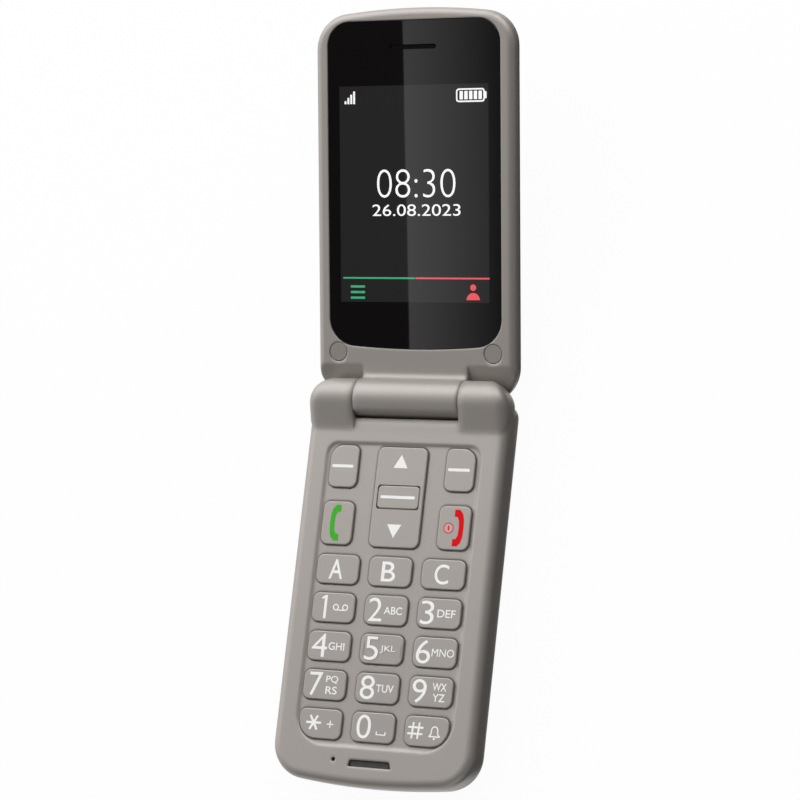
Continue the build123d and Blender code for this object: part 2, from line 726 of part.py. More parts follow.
with BuildPart() as ok_key:
    with BuildSketch(base_at(KEY_FOOT)):
        add(ok_plan)
    extrude(amount=KEY_TOP - KEY_FOOT)
    fillet(ok_key.faces().sort_by(Axis.Z)[-1].edges(), KEY_EDGE)
write(ok_key, "ok_key")

with BuildPart() as emergency_key:
    with BuildSketch(base_at(SOS_SINK)):
        with Locations((0, SOS_Y)):
            RectangleRounded(SOS_W, SOS_H, SOS_H / 2 - SLIDE)
    extrude(amount=FLOOR_T - SOS_SINK + 0.55)
    fillet(emergency_key.faces().sort_by(Axis.Z)[0].edges(), KEY_EDGE)
    with BuildSketch(base_at(FLOOR_T + 0.05)):
        with Locations((0, SOS_Y)):
            RectangleRounded(SOS_W + 2 * KEY_FLANGE, SOS_H + 2 * KEY_FLANGE, SOS_H / 2)
    extrude(amount=KEY_FLANGE_T)
    with BuildSketch(base_at(FLOOR_T)):
        with Locations((0, SOS_Y)):
            Circle(SOS_POST_R)
    extrude(amount=BOARD_LOW - SWITCH_T - SOS_TRAVEL - 0.05 - FLOOR_T)
write(emergency_key, "emergency_key")

rocker_in = -WIDTH / 2 + WALL + 0.35
with BuildPart() as volume_key:
    with BuildSketch(Plane(origin=(-WIDTH / 2 - VOLUME_RISE, HINGE_Y + VOLUME_Y, VOLUME_Z),
                           x_dir=(0, 1, 0), z_dir=(1, 0, 0))):
        RectangleRounded(VOLUME_L, VOLUME_H, VOLUME_H / 2 - SLIDE)
    extrude(amount=rocker_in + WIDTH / 2 + VOLUME_RISE)
    fillet(volume_key.faces().sort_by(Axis.X)[0].edges(), KEY_EDGE)
    with BuildSketch(Plane(origin=(rocker_in, HINGE_Y + VOLUME_Y, VOLUME_Z),
                           x_dir=(0, 1, 0), z_dir=(1, 0, 0))):
        RectangleRounded(VOLUME_L + 2 * KEY_FLANGE, VOLUME_H + 2 * KEY_FLANGE, VOLUME_H / 2)
    extrude(amount=KEY_FLANGE_T)
write(volume_key, "volume_key")

# ======================================================================================
# Base: what is inside
# ======================================================================================
board_plan = shrunk(low_plan, WALL + 2.4)
with BuildPart() as main_board:
    with BuildSketch(base_at(BOARD_LOW)):
        add(board_plan)
        with Locations((0, hollow_near - 0.5 - BASE_REACH)):
            Rectangle(WIDTH, 2 * BASE_REACH, mode=Mode.INTERSECT)
        with Locations(*boss_spots):
            Circle(BOSS_R + 0.3, mode=Mode.SUBTRACT)
    extrude(amount=BOARD_T)
write(main_board, "main_board")

pad_half = TRAY_HALF - 0.5
pad_top = SOFT_ROW + SOFT_H / 2
pad_bottom = LETTER_ROW - (len(rows) - 1) * KEY_PITCH_Y - KEY_H / 2
pad_spots = [tuple(plan.center())[:2] for plan in key_plans.values()]
nav_pads = [(0, NAV_Y + NAV_H / 2 - DOME_R - 1), (0, NAV_Y - NAV_H / 2 + DOME_R + 1), (0, NAV_Y)]
with BuildPart() as dome_sheet:
    with BuildSketch(base_at(BOARD_Z)):
        with Locations((0, (pad_top + pad_bottom) / 2)):
            RectangleRounded(2 * pad_half, pad_top - pad_bottom, TRAY_CORNER)
    extrude(amount=DOME_SHEET_T)
    # one snap dome under each key
    with Locations(*[(x, y + HINGE_Y, DOME_Z - 0.05) for x, y in pad_spots + nav_pads]):
        Cone(
            DOME_R, DOME_R / 2, DOME_H + 0.05,
            align=(Align.CENTER, Align.CENTER, Align.MIN),
        )
write(dome_sheet, "dome_sheet")

with BuildPart() as keypad_mat:
    with BuildSketch(base_at(MAT_Z - MAT_T)):
        with Locations((0, (pad_top + pad_bottom) / 2)):
            RectangleRounded(2 * pad_half, pad_top - pad_bottom, TRAY_CORNER)
    extrude(amount=MAT_T)
write(keypad_mat, "keypad_mat")

with BuildPart() as battery:
    with BuildSketch(base_at(BATTERY_Z)):
        with Locations((0, (BATTERY_NEAR + BATTERY_FAR) / 2)):
            RectangleRounded(BATTERY_W, BATTERY_L, BATTERY_CORNER)
    extrude(amount=BATTERY_T)
    flats = battery.faces().group_by(Axis.Z)
    fillet(flats[0].edges() + flats[-1].edges(), BATTERY_EDGE)
write(battery, "battery")

blade_z = BATTERY_Z + BATTERY_T / 2 - AXIS_Z
blade_back = BAY_NEAR + TUB_WALL + 0.4
blade_front = BATTERY_NEAR + 0.2
with BuildPart() as battery_contacts:
    for x in (-BLADE_PITCH, 0, BLADE_PITCH):
        add(
            strip(
                base_section(x - BLADE_W / 2),
                [
                    (blade_back, BOARD_LOW - AXIS_Z - FIT),
                    (blade_back, blade_z + 0.6),
                    (blade_front, blade_z + 0.6),
                    (blade_front, blade_z - 0.5),
                ],
                BLADE_T, BLADE_W,
            )
        )
write(battery_contacts, "battery_contacts")

with BuildPart() as shield_can:
    with BuildSketch(base_at(BOARD_LOW - CAN_H)):
        with Locations((CAN_X, CAN_Y)):
            RectangleRounded(CAN_W, CAN_L, 1)
    extrude(amount=CAN_H)
    offset(amount=-SHEET_T, openings=shield_can.faces().sort_by(Axis.Z)[-1])
write(shield_can, "shield_can")

with BuildPart() as sim_holder:
    with BuildSketch(base_at(BOARD_LOW - SIM_H)):
        with Locations((SIM_X, CAN_Y)):
            Rectangle(SIM_W, SIM_L)
    extrude(amount=SIM_H)
    # the card's slot, open at the end
    slot_half = SIM_W / 2 - 2 * SHEET_T
    add(
        block(
            base_at(BOARD_LOW), (SIM_X - slot_half, SIM_X + slot_half),
            (CAN_Y - SIM_L, CAN_Y + SIM_L / 2 - 1), SHEET_T - SIM_H, -SHEET_T,
        ),
        mode=Mode.SUBTRACT,
    )
write(sim_holder, "sim_holder")

with BuildPart() as emergency_switch:
    with BuildSketch(base_at(BOARD_LOW - SWITCH_T)):
        with Locations((0, SOS_Y)):
            RectangleRounded(SWITCH_W, SWITCH_W, 0.6)
    extrude(amount=SWITCH_T)
write(emergency_switch, "emergency_switch")

with BuildPart() as vibration_motor:
    with BuildSketch(base_at(FLOOR_T)):
        with Locations((MOTOR_X, MOTOR_Y)):
            Circle(MOTOR_R)
    extrude(amount=MOTOR_T)
    chamfer(vibration_motor.faces().sort_by(Axis.Z)[-1].edges(), 0.3)
write(vibration_motor, "vibration_motor")

with BuildPart() as antenna:
    with BuildSketch(base_at(plate_z)):
        with Locations((0, SLOT_Y - SEAT)):
            RectangleRounded(ANTENNA_W, ANTENNA_L, 1)
    extrude(amount=BOARD_LOW - SEAT - plate_z)
    offset(amount=-ANTENNA_WALL, openings=antenna.faces().sort_by(Axis.Z)[-1])
write(antenna, "antenna")

with BuildPart() as loudspeaker:
    with BuildSketch(base_at(BOARD_Z)):
        with Locations((0, SLOT_Y)):
            RectangleRounded(SPEAKER_BOX_W, SPEAKER_BOX_L, 1.2)
    extrude(amount=SKIN_Z - SEAT - BOARD_Z)
    with BuildSketch(base_at(SKIN_Z - SEAT)):
        with Locations((0, SLOT_Y)):
            RectangleRounded(SPEAKER_BOX_W - 4, SPEAKER_BOX_L - 2.4, 1)
    extrude(amount=-0.4, mode=Mode.SUBTRACT)
write(loudspeaker, "loudspeaker")

with BuildPart() as sound_mesh:
    with BuildSketch(base_at(BASE_T - 2 * SHEET_T)):
        add(shrunk(slot_plan, FIT))
    extrude(amount=-SHEET_T)
write(sound_mesh, "sound_mesh")

with BuildPart() as microphone:
    with BuildSketch(base_at(BOARD_Z)):
        with Locations((MIC_X, MIC_Y)):
            Circle(MIC_BODY_R)
    extrude(amount=SKIN_Z - 0.05 - BOARD_Z)
    with BuildSketch(base_at(SKIN_Z)):
        with Locations((MIC_X, MIC_Y)):
            Circle(MIC_R)
    extrude(amount=-1, mode=Mode.SUBTRACT)
write(microphone, "microphone")

with BuildPart() as usb_port:
    with BuildSketch(Plane(origin=(usb_mouth, HINGE_Y + USB_Y, BOARD_Z + USB_H / 2 + 0.02),
                           x_dir=(0, 1, 0), z_dir=(1, 0, 0))):
        RectangleRounded(USB_W, USB_H, 0.7)
    extrude(amount=USB_L)
    offset(amount=-SHEET_T, openings=usb_port.faces().sort_by(Axis.X)[0])
    # tongue that carries the contacts
    add(
        block(
            base_at(BOARD_Z + USB_H / 2), (usb_mouth + 1, usb_mouth + USB_L - 0.2),
            (USB_Y - USB_TONGUE_W / 2, USB_Y + USB_TONGUE_W / 2),
            -USB_TONGUE_T / 2, USB_TONGUE_T / 2,
        )
    )
write(usb_port, "usb_port")

with BuildPart() as housing_screws:
    with BuildSketch(base_at(HEAD_Z)):
        with Locations(*boss_spots):
            Circle(SCREW_HEAD_R)
    extrude(amount=SCREW_HEAD_T)
    with BuildSketch(base_at(HEAD_Z + SCREW_HEAD_T)):
        with Locations(*boss_spots):
            Circle(SCREW_R)
    extrude(amount=SCREW_L)
write(housing_screws, "housing_screws")

# ======================================================================================
# Hinge
# ======================================================================================
with BuildPart() as hinge_shaft:
    with BuildSketch(base_section(SHAFT_FROM)):
        Circle(SHAFT_R)
    extrude(amount=KNUCKLE_X + SHAFT_HEAD_L - SHAFT_FROM - 0.2)
    with BuildSketch(base_section(KNUCKLE_X)):
        Circle(SHAFT_HEAD_R)
        Rectangle(2 * BARREL_R, SHAFT_HEAD_FLATS, mode=Mode.INTERSECT)
    extrude(amount=SHAFT_HEAD_L)
write(hinge_shaft, "hinge_shaft")

with BuildPart() as hinge_cartridge:
    with BuildSketch(lid_section(CARTRIDGE_FROM)):
        Circle(CARTRIDGE_R)
        Rectangle(2 * BARREL_R, CARTRIDGE_FLATS, mode=Mode.INTERSECT)
    extrude(amount=BARREL_HALF - 0.1 - CARTRIDGE_FROM)
    with BuildSketch(lid_section(SHAFT_FROM - 0.3)):
        Circle(SHAFT_R + RUN)
    extrude(amount=BARREL_HALF - SHAFT_FROM + 1, mode=Mode.SUBTRACT)
write(hinge_cartridge, "hinge_cartridge")

with BuildPart() as hinge_bush:
    with BuildSketch(base_section(-BUSH_OUT)):
        Circle(BUSH_R)
        Circle(BUSH_BORE_R, mode=Mode.SUBTRACT)
    extrude(amount=BUSH_OUT - BUSH_IN)
write(hinge_bush, "hinge_bush")

# ======================================================================================
# Lid: inner frame with the barrel
# ======================================================================================
flex_w = LCD_TOP_W - LCD_T + 0.8            # level of the flex cable's tail
with BuildPart() as lid_inner_frame:
    with BuildSketch(lid_at(LID_SEAM_W)):
        add(lid_plan)
    extrude(amount=FACE_W - LID_SEAM_W)
    fillet(lid_inner_frame.faces().sort_by(LID_AXIS)[-1].edges(), LID_EDGE)
    # corners scooped out over the knuckles
    for side in (-1, 1):
        with BuildSketch(lid_section(side * (KNUCKLE_X - BARREL_GAP / 2))):
            Circle(BARREL_R + SWING)
            with BuildLine():
                Polyline(*scoop, close=True)
            make_face()
        extrude(amount=side * WIDTH, mode=Mode.SUBTRACT)
    # the barrel, which runs into the face with a small hollow round
    with BuildSketch(lid_section(-BARREL_HALF)) as barrel_profile:
        Circle(BARREL_R)
        Polygon(*nose(facet_tip_angle, TIP_R), align=None)
        facet_tip = (*polar(TIP_R, facet_tip_angle), 0)
        fillet(barrel_profile.vertices().sort_by_distance(facet_tip)[0], FACET_ROUND)
        with Locations((lid_hollow_near / 2, (LID_SEAM_W + FACE_W) / 2)):
            Rectangle(lid_hollow_near, FACE_W - LID_SEAM_W)
        crease = (sqrt(BARREL_R**2 - FACE_W**2), FACE_W, 0)
        fillet(barrel_profile.vertices().sort_by_distance(crease)[0], FACE_BLEND)
    extrude(amount=2 * BARREL_HALF)
    # hollow behind the window, and the opening for the display
    with BuildSketch(lid_at(LID_SEAM_W)):
        add(lid_hollow)
        with Locations((0, lid_hollow_near + LID_REACH)):
            Rectangle(WIDTH, 2 * LID_REACH, mode=Mode.INTERSECT)
        with Locations((-CAP_X, CAP_S), (CAP_X, CAP_S)):
            Circle(BOSS_R, mode=Mode.SUBTRACT)
    extrude(amount=SHELF_W - LID_SEAM_W, mode=Mode.SUBTRACT)
    with BuildSketch(lid_at(FACE_W)):
        add(shrunk(window_plan, -0.08))
    extrude(amount=WINDOW_W - 0.05 - FACE_W, mode=Mode.SUBTRACT)
    with BuildSketch(lid_at(SHELF_W - 0.1)):
        with Locations((0, LCD_S)):
            RectangleRounded(LCD_W + 2 * SEAT, LCD_L + 2 * SEAT, 1)
        with Locations((0, EAR_S)):
            RectangleRounded(SPEAKER_W + 2 * SEAT, SPEAKER_L + 2 * SEAT, 1)
    extrude(amount=SHELF_T + 0.2, mode=Mode.SUBTRACT)
    # screw holes under their caps
    with BuildSketch(lid_at(FACE_W)):
        with Locations((-CAP_X, CAP_S), (CAP_X, CAP_S)):
            Circle(CAP_R + 0.08)
    extrude(amount=-CAP_T - 0.05, mode=Mode.SUBTRACT)
    with BuildSketch(lid_at(FACE_W)):
        with Locations((-CAP_X, CAP_S), (CAP_X, CAP_S)):
            Circle(SCREW_HEAD_R + 0.15)
    extrude(amount=-CAP_T - 0.1 - SCREW_HEAD_T, mode=Mode.SUBTRACT)
    with BuildSketch(lid_at(LID_SEAM_W - 1)):
        with Locations((-CAP_X, CAP_S), (CAP_X, CAP_S)):
            Circle(SCREW_R + 0.15)
    extrude(amount=FACE_W - LID_SEAM_W, mode=Mode.SUBTRACT)
    # barrel bores: flatted for the cartridge, round for the bush
    with BuildSketch(lid_section(CARTRIDGE_FROM - 0.1)):
        Circle(CARTRIDGE_R + FIT)
        Rectangle(2 * BARREL_R, CARTRIDGE_FLATS + 2 * FIT, mode=Mode.INTERSECT)
    extrude(amount=BARREL_HALF, mode=Mode.SUBTRACT)
    with BuildSketch(lid_section(-BARREL_HALF - 1)):
        Circle(BUSH_R + RUN)
    extrude(amount=BARREL_HALF + 1 - FLEX_IN + 0.4, mode=Mode.SUBTRACT)
    # way for the flex cable, from the barrel into the lid
    add(
        block(
            LID, (-FLEX_IN - FLEX_W - 0.3, -FLEX_IN + 0.3), (-0.6, 0.6), flex_w - 0.4, -BUSH_BORE_R
        ),
        mode=Mode.SUBTRACT,
    )
    add(
        block(
            LID, (-FLEX_IN - FLEX_W - 0.3, -FLEX_IN + 0.3), (-0.6, lid_hollow_near + 1),
            flex_w - 0.4, flex_w + 0.4,
        ),
        mode=Mode.SUBTRACT,
    )
write(lid_inner_frame, "lid_inner_frame")

# ======================================================================================
# Lid: outer cover and what is inside
# ======================================================================================
cap_spots = [(-CAP_X, CAP_S), (CAP_X, CAP_S)]
camera_seat = 0.65
with BuildPart() as lid_outer_cover:
    with BuildSketch(lid_at(BACK_W)):
        add(lid_plan)
    extrude(amount=LID_SEAM_W - BACK_W)
    fillet(lid_outer_cover.faces().sort_by(LID_AXIS)[0].edges(), LID_BACK_EDGE)
    with BuildPart(mode=Mode.PRIVATE) as cover_hollow:
        with BuildSketch(lid_at(BACK_W + LID_WALL)):
            add(lid_hollow)
            with Locations((0, 3 + LID_REACH)):
                Rectangle(WIDTH, 2 * LID_REACH, mode=Mode.INTERSECT)
        extrude(amount=LID_SEAM_W - BACK_W - LID_WALL)
        fillet(cover_hollow.faces().sort_by(LID_AXIS)[0].edges(), LID_BACK_EDGE - LID_WALL)
    add(cover_hollow.part, mode=Mode.SUBTRACT)
    with BuildSketch(lid_at(BACK_W + LID_WALL / 2)):
        with Locations(*cap_spots):
            Circle(BOSS_R)
    extrude(amount=LID_SEAM_W - BACK_W - LID_WALL / 2)
    with BuildSketch(lid_at(BACK_W + LID_WALL / 2)):
        with Locations((0, CAMERA_S)):
            Circle(CAMERA_BODY / 2 * sqrt(2) + 0.6)
    extrude(amount=LID_BOARD_W - LID_BOARD_T - 0.05 - BACK_W - LID_WALL / 2)
    with BuildSketch(lid_at(LID_SEAM_W)):
        with Locations(*cap_spots):
            Circle(SCREW_R + FIT)
        with Locations((0, CAMERA_S)):
            RectangleRounded(CAMERA_BODY + 2 * SEAT, CAMERA_BODY + 2 * SEAT, 0.6)
    extrude(amount=BACK_W + LID_WALL - LID_SEAM_W, mode=Mode.SUBTRACT)
    with BuildSketch(lid_at(BACK_W)):
        with Locations((0, CAMERA_S)):
            Circle(CAMERA_R + FIT)
    extrude(amount=camera_seat, mode=Mode.SUBTRACT)
    with BuildSketch(lid_at(BACK_W)):
        with Locations((0, CAMERA_S)):
            Circle(CAMERA_R - 1)
    extrude(amount=LID_WALL + 0.1, mode=Mode.SUBTRACT)
write(lid_outer_cover, "lid_outer_cover")

with BuildPart() as camera_window:
    with BuildSketch(lid_at(BACK_W + 0.05)):
        with Locations((0, CAMERA_S)):
            Circle(CAMERA_R)
    extrude(amount=camera_seat - 0.07)
    chamfer(camera_window.faces().sort_by(LID_AXIS)[0].edges(), 0.15)
write(camera_window, "camera_window")

with BuildPart() as camera_module:
    with BuildSketch(lid_at(BACK_W + LID_WALL + 0.05)):
        with Locations((0, CAMERA_S)):
            RectangleRounded(CAMERA_BODY, CAMERA_BODY, 0.5)
    extrude(amount=LID_BOARD_W - LID_BOARD_T - 0.05 - (BACK_W + LID_WALL + 0.05))
    with BuildSketch(lid_at(BACK_W + camera_seat + 0.1)):
        with Locations((0, CAMERA_S)):
            Circle(CAMERA_R - 1.3)
    extrude(amount=LID_WALL)
write(camera_module, "camera_module")

with BuildPart() as display_window:
    with BuildSketch(lid_at(WINDOW_W)):
        add(window_plan)
    extrude(amount=WINDOW_T)
    chamfer(display_window.faces().sort_by(LID_AXIS)[-1].edges(), 0.15)
    with BuildSketch(lid_at(FACE_W)):
        with Locations((0, EAR_S)):
            SlotOverall(EAR_W, EAR_H)
    extrude(amount=-WINDOW_T, mode=Mode.SUBTRACT)
write(display_window, "display_window")

with BuildPart() as earpiece_mesh:
    with BuildSketch(lid_at(FACE_W - 0.35)):
        with Locations((0, EAR_S)):
            SlotOverall(EAR_W - 2 * FIT, EAR_H - 2 * FIT)
    extrude(amount=-0.2)
write(earpiece_mesh, "earpiece_mesh")

with BuildPart() as earpiece_speaker:
    with BuildSketch(lid_at(WINDOW_W - 0.1)):
        with Locations((0, EAR_S)):
            RectangleRounded(SPEAKER_W, SPEAKER_L, 1)
    extrude(amount=LID_BOARD_W + 0.05 - WINDOW_W + 0.1)
write(earpiece_speaker, "earpiece_speaker")

with BuildPart() as lcd_module:
    with BuildSketch(lid_at(LCD_TOP_W - LCD_T)):
        with Locations((0, LCD_S)):
            RectangleRounded(LCD_W, LCD_L, 0.8)
    extrude(amount=LCD_T)
write(lcd_module, "lcd_module")

with BuildPart() as lcd_bracket:
    with BuildSketch(lid_at(BRACKET_W - BRACKET_T)):
        with Locations((0, LCD_S)):
            Rectangle(LCD_W + 2 * BRACKET_LIP_X, LCD_L + 2 * BRACKET_LIP_Y)
    extrude(amount=BRACKET_T)
    with BuildSketch(lid_at(BRACKET_W)):
        with Locations((0, LCD_S)):
            Rectangle(LCD_W + 1.6, LCD_L + 1.6)
            Rectangle(LCD_W + 0.6, LCD_L + 0.6, mode=Mode.SUBTRACT)
    extrude(amount=SHELF_W - 0.05 - BRACKET_W)
write(lcd_bracket, "lcd_bracket")

board_near = CAP_S + LID_BOARD_NEAR
board_far = EAR_S + SPEAKER_L / 2
with BuildPart() as lid_board:
    with BuildSketch(lid_at(LID_BOARD_W - LID_BOARD_T)):
        with Locations((0, (board_near + board_far) / 2)):
            RectangleRounded(LID_BOARD_SPAN, board_far - board_near, BATTERY_CORNER)
    extrude(amount=LID_BOARD_T)
write(lid_board, "lid_board")

with BuildPart() as lid_magnet:
    with BuildSketch(lid_at(LID_BOARD_W + 0.05)):
        with Locations((MAGNET_X, MAGNET_S)):
            Rectangle(MAGNET_W, MAGNET_L)
    extrude(amount=SHELF_W - 0.1 - LID_BOARD_W)
write(lid_magnet, "lid_magnet")

with BuildPart() as screw_caps:
    with BuildSketch(lid_at(FACE_W - CAP_T)):
        with Locations(*cap_spots):
            Circle(CAP_R)
    extrude(amount=CAP_T)
    chamfer(screw_caps.faces().group_by(LID_AXIS)[-1].edges(), 0.2)
write(screw_caps, "screw_caps")

head_w = FACE_W - CAP_T - 0.1
with BuildPart() as lid_screws:
    with BuildSketch(lid_at(head_w - SCREW_HEAD_T)):
        with Locations(*cap_spots):
            Circle(SCREW_HEAD_R)
    extrude(amount=SCREW_HEAD_T)
    with BuildSketch(lid_at(head_w - SCREW_HEAD_T)):
        with Locations(*cap_spots):
            Circle(SCREW_R)
    extrude(amount=BACK_W + LID_WALL + 0.3 - head_w + SCREW_HEAD_T)
write(lid_screws, "lid_screws")

with BuildPart() as flex_cable:
    with BuildSketch(lid_section(-BUSH_OUT - 0.3)):
        Circle(ROLL_R)
        Circle(ROLL_R - 2 * FLEX_T, mode=Mode.SUBTRACT)
    extrude(amount=BUSH_OUT + 0.3 - FLEX_IN)
    add(
        strip(
            lid_section(-FLEX_IN - FLEX_W),
            [
                (0, -ROLL_R + FLEX_T), (0, flex_w), (board_near - 2, flex_w),
                (board_near + 0.5, LID_BOARD_W + FLEX_T), (board_near + 4, LID_BOARD_W + FLEX_T),
            ],
            FLEX_T, FLEX_W,
        )
    )
write(flex_cable, "flex_cable")

flex_z = BOARD_Z + FLEX_T / 2
with BuildPart() as base_flex:
    with BuildSketch(base_at(flex_z)):
        with Locations((-BUSH_OUT - 0.5 - (FLEX_W - 0.6) / 2, (hollow_near - 1.2) / 2 + 0.1)):
            Rectangle(FLEX_W - 0.6, -(hollow_near - 1.2) + 0.2)
        with Locations((-BUSH_OUT + 3.2, hollow_near - 2)):
            Rectangle(FLEX_TAB_W, FLEX_TAB_L)
    extrude(amount=FLEX_T)
write(base_flex, "base_flex")
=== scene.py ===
# %% [markdown]
# # A flip phone with large keys
# The phone lies open on its back. Its housings, keys and screws come from the packed
# solids, already in place. This lesson gives them their paint, glass and metal, prints
# the marks on the keys, lights up the display and sets the table and the lamps.
# Everything is in metres in one shared frame: +X is right, +Y runs from the keypad to
# the hinge, +Z comes out of the keypad.

# %% Load the frame
import json
from math import cos, pi, radians, sin

import bmesh
import bpy
from mathutils import Matrix, Vector


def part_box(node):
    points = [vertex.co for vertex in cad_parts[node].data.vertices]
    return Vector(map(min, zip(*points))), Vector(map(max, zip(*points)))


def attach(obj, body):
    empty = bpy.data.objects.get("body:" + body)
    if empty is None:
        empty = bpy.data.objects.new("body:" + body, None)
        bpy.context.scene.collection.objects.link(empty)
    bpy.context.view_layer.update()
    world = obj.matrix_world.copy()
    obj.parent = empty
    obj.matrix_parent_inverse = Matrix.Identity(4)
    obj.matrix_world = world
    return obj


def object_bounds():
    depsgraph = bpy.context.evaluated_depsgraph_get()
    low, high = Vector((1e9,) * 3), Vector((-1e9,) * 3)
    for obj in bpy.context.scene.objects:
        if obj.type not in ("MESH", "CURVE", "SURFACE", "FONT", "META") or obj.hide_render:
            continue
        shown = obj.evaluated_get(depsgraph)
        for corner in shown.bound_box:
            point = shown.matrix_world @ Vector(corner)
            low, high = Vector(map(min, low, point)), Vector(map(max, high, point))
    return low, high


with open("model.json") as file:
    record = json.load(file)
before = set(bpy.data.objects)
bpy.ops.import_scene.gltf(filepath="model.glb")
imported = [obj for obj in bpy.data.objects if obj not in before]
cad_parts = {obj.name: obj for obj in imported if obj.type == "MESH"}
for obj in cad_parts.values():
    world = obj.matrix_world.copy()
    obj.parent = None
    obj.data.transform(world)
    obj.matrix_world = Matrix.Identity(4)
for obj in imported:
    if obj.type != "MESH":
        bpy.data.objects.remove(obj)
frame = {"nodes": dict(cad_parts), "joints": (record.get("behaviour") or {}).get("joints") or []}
cad_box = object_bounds()
MM = 0.001

# %% [markdown]
# ## Two drawing planes
# Marks are drawn flat, in millimetres, and then laid on a plane. The keypad's plane is
# level. The lid's plane tilts: the hinge is recorded as the turn from open to shut, so
# what is left of half a turn is how far the open lid leans up. Working the tilt out from
# the joint keeps the display's picture on the glass whatever the hinge does.

# %% Planes to draw on
hinge = next(j for j in frame["joints"] if j["name"] == "lid_hinge")
HINGE_AT = Vector(hinge["pos_m"])
LEAN = radians(180 - max(hinge["range_deg"]))
FACE_DROP = 2.1             # lid's face behind the hinge axis, mm


def level_plane(x, y, z):
    """Level plane with its origin at a point, in metres."""
    return Matrix.Translation((x, y, z))


def lid_plane(rise=0.0):
    """Plane on the lid's face: local x across, local y along the lid from the axis."""
    turned = Matrix.Translation(HINGE_AT) @ Matrix.Rotation(LEAN, 4, "X")
    return turned @ Matrix.Translation((0, 0, (rise - FACE_DROP) * MM))


print("the lid leans", round(LEAN * 180 / pi, 1), "degrees")

# %% [markdown]
# ## The camera
# The phone is seen from above its lower right corner through a long lens, so its sides
# hardly converge. Three things set a camera: where it stands, the direction it looks in,
# and which way is up in its view.

# %% Camera
CAM_AT = Vector((308.92, -89.98, 688.29)) * MM
CAM_AIM = Vector((-0.41075, 0.18591, -0.89259))
CAM_UP = Vector((-0.02287, 0.97654, 0.21412))
FILM_WIDE = 36              # mm
FOCAL_LENGTH = 128.2        # mm


def place(name, data):
    """A new object in the scene that holds a mesh, a curve, a lens or a lamp."""
    made = bpy.data.objects.new(name, data)
    bpy.context.scene.collection.objects.link(made)
    return made


lens = bpy.data.cameras.new("long_lens")
lens.sensor_width = FILM_WIDE
lens.lens = FOCAL_LENGTH
camera = place("camera", lens)
cam_right = CAM_AIM.cross(CAM_UP).normalized()
cam_up = cam_right.cross(CAM_AIM).normalized()
camera.matrix_world = Matrix.Translation(CAM_AT) @ Matrix(
    (cam_right, cam_up, -CAM_AIM.normalized())
).transposed().to_4x4()
bpy.context.scene.camera = camera
print("camera is", round(CAM_AT.length, 3), "m from the phone")

# %% [markdown]
# ## Helpers for materials
# A shader wants linear colour, and people write sRGB hex, so one function converts. A
# second one adds a node with its settings and its inputs, where an input is a value or
# another node's output. Every finish below is built with those two.

# %% Colour and node helpers
def colour(text):
    """An sRGB hex colour as linear red, green, blue and alpha."""
    parts = [int(text[i:i + 2], 16) / 255 for i in (0, 2, 4)]
    flat = [((c + 0.055) / 1.055) ** 2.4 if c > 0.04045 else c / 12.92 for c in parts]
    return (*flat, 1.0)


def add(tree, kind, settings=None, inputs=None):
    """Adds a node to a tree. An input's value is a number, a colour or an output."""
    made = tree.nodes.new(kind)
    for name, value in (settings or {}).items():
        setattr(made, name, value)
    for name, value in (inputs or {}).items():
        if isinstance(value, bpy.types.NodeSocket):
            tree.links.new(value, made.inputs[name])
        else:
            made.inputs[name].default_value = value
    return made


def new_material(name, **sockets):
    """A Principled material. Keywords are its sockets' names with _ for a space."""
    material = bpy.data.materials.new(name)
    material.use_nodes = True
    shader = material.node_tree.nodes["Principled BSDF"]
    for key, value in sockets.items():
        shader.inputs[key.replace("_", " ")].default_value = value
    return material, material.node_tree, shader


red, green, blue, _ = colour("A6A09B")
print("the paint's taupe is", round(red, 3), round(green, 3), round(blue, 3), "in linear")

# %% [markdown]
# ## Helpers for patterns
# Noise gives a finish its grain: the colour, the gloss and the relief all follow it. It
# is measured in millimetres on the piece, so each pattern has the size of the real one.
# Most of a noise lies between 0.3 and 0.7, so only that part of it is stretched to the
# range that is wanted.

# %% Colour, gloss and relief from noise
NOISE_LOW = 0.3             # a noise hardly ever falls below this
NOISE_HIGH = 0.7            # or rises above this
RAMP_LOW = 0.35             # a ramp reaches its two colours sooner, so that both show
RAMP_HIGH = 0.65


def speckle(tree, size, detail=2.0):
    """Noise whose spots are about that many millimetres across."""
    coords = add(tree, "ShaderNodeTexCoord").outputs["Object"]
    return add(tree, "ShaderNodeTexNoise", None, {
        "Vector": coords, "Scale": 1 / (size * MM), "Detail": detail,
    }).outputs["Fac"]


def vary_colour(tree, shader, noise, low, high):
    """Lets a material's colour follow a noise from one hex colour to another."""
    ramp = add(tree, "ShaderNodeValToRGB", None, {"Fac": noise})
    stops = ramp.color_ramp.elements
    stops[0].position, stops[0].color = RAMP_LOW, colour(low)
    stops[1].position, stops[1].color = RAMP_HIGH, colour(high)
    tree.links.new(ramp.outputs["Color"], shader.inputs["Base Color"])
    return ramp.outputs["Color"]


def vary_gloss(tree, shader, noise, roughness, change):
    """Lets a material's roughness follow a noise, by a change each way."""
    stretched = add(tree, "ShaderNodeMapRange", None, {
        "Value": noise, "From Min": NOISE_LOW, "From Max": NOISE_HIGH,
        "To Min": roughness - change, "To Max": roughness + change,
    })
    tree.links.new(stretched.outputs["Result"], shader.inputs["Roughness"])


def bump(tree, shader, height, depth, radius=None):
    """Bump of that many millimetres, over creases softened by a radius where one is given."""
    normal = add(tree, "ShaderNodeBump", None, {"Height": height, "Distance": depth * MM})
    if radius:
        crease = add(tree, "ShaderNodeBevel", {"samples": 6}, {"Radius": radius})
        tree.links.new(crease.outputs["Normal"], normal.inputs["Normal"])
    tree.links.new(normal.outputs["Normal"], shader.inputs["Normal"])


print("noise is used from", NOISE_LOW, "to", NOISE_HIGH)

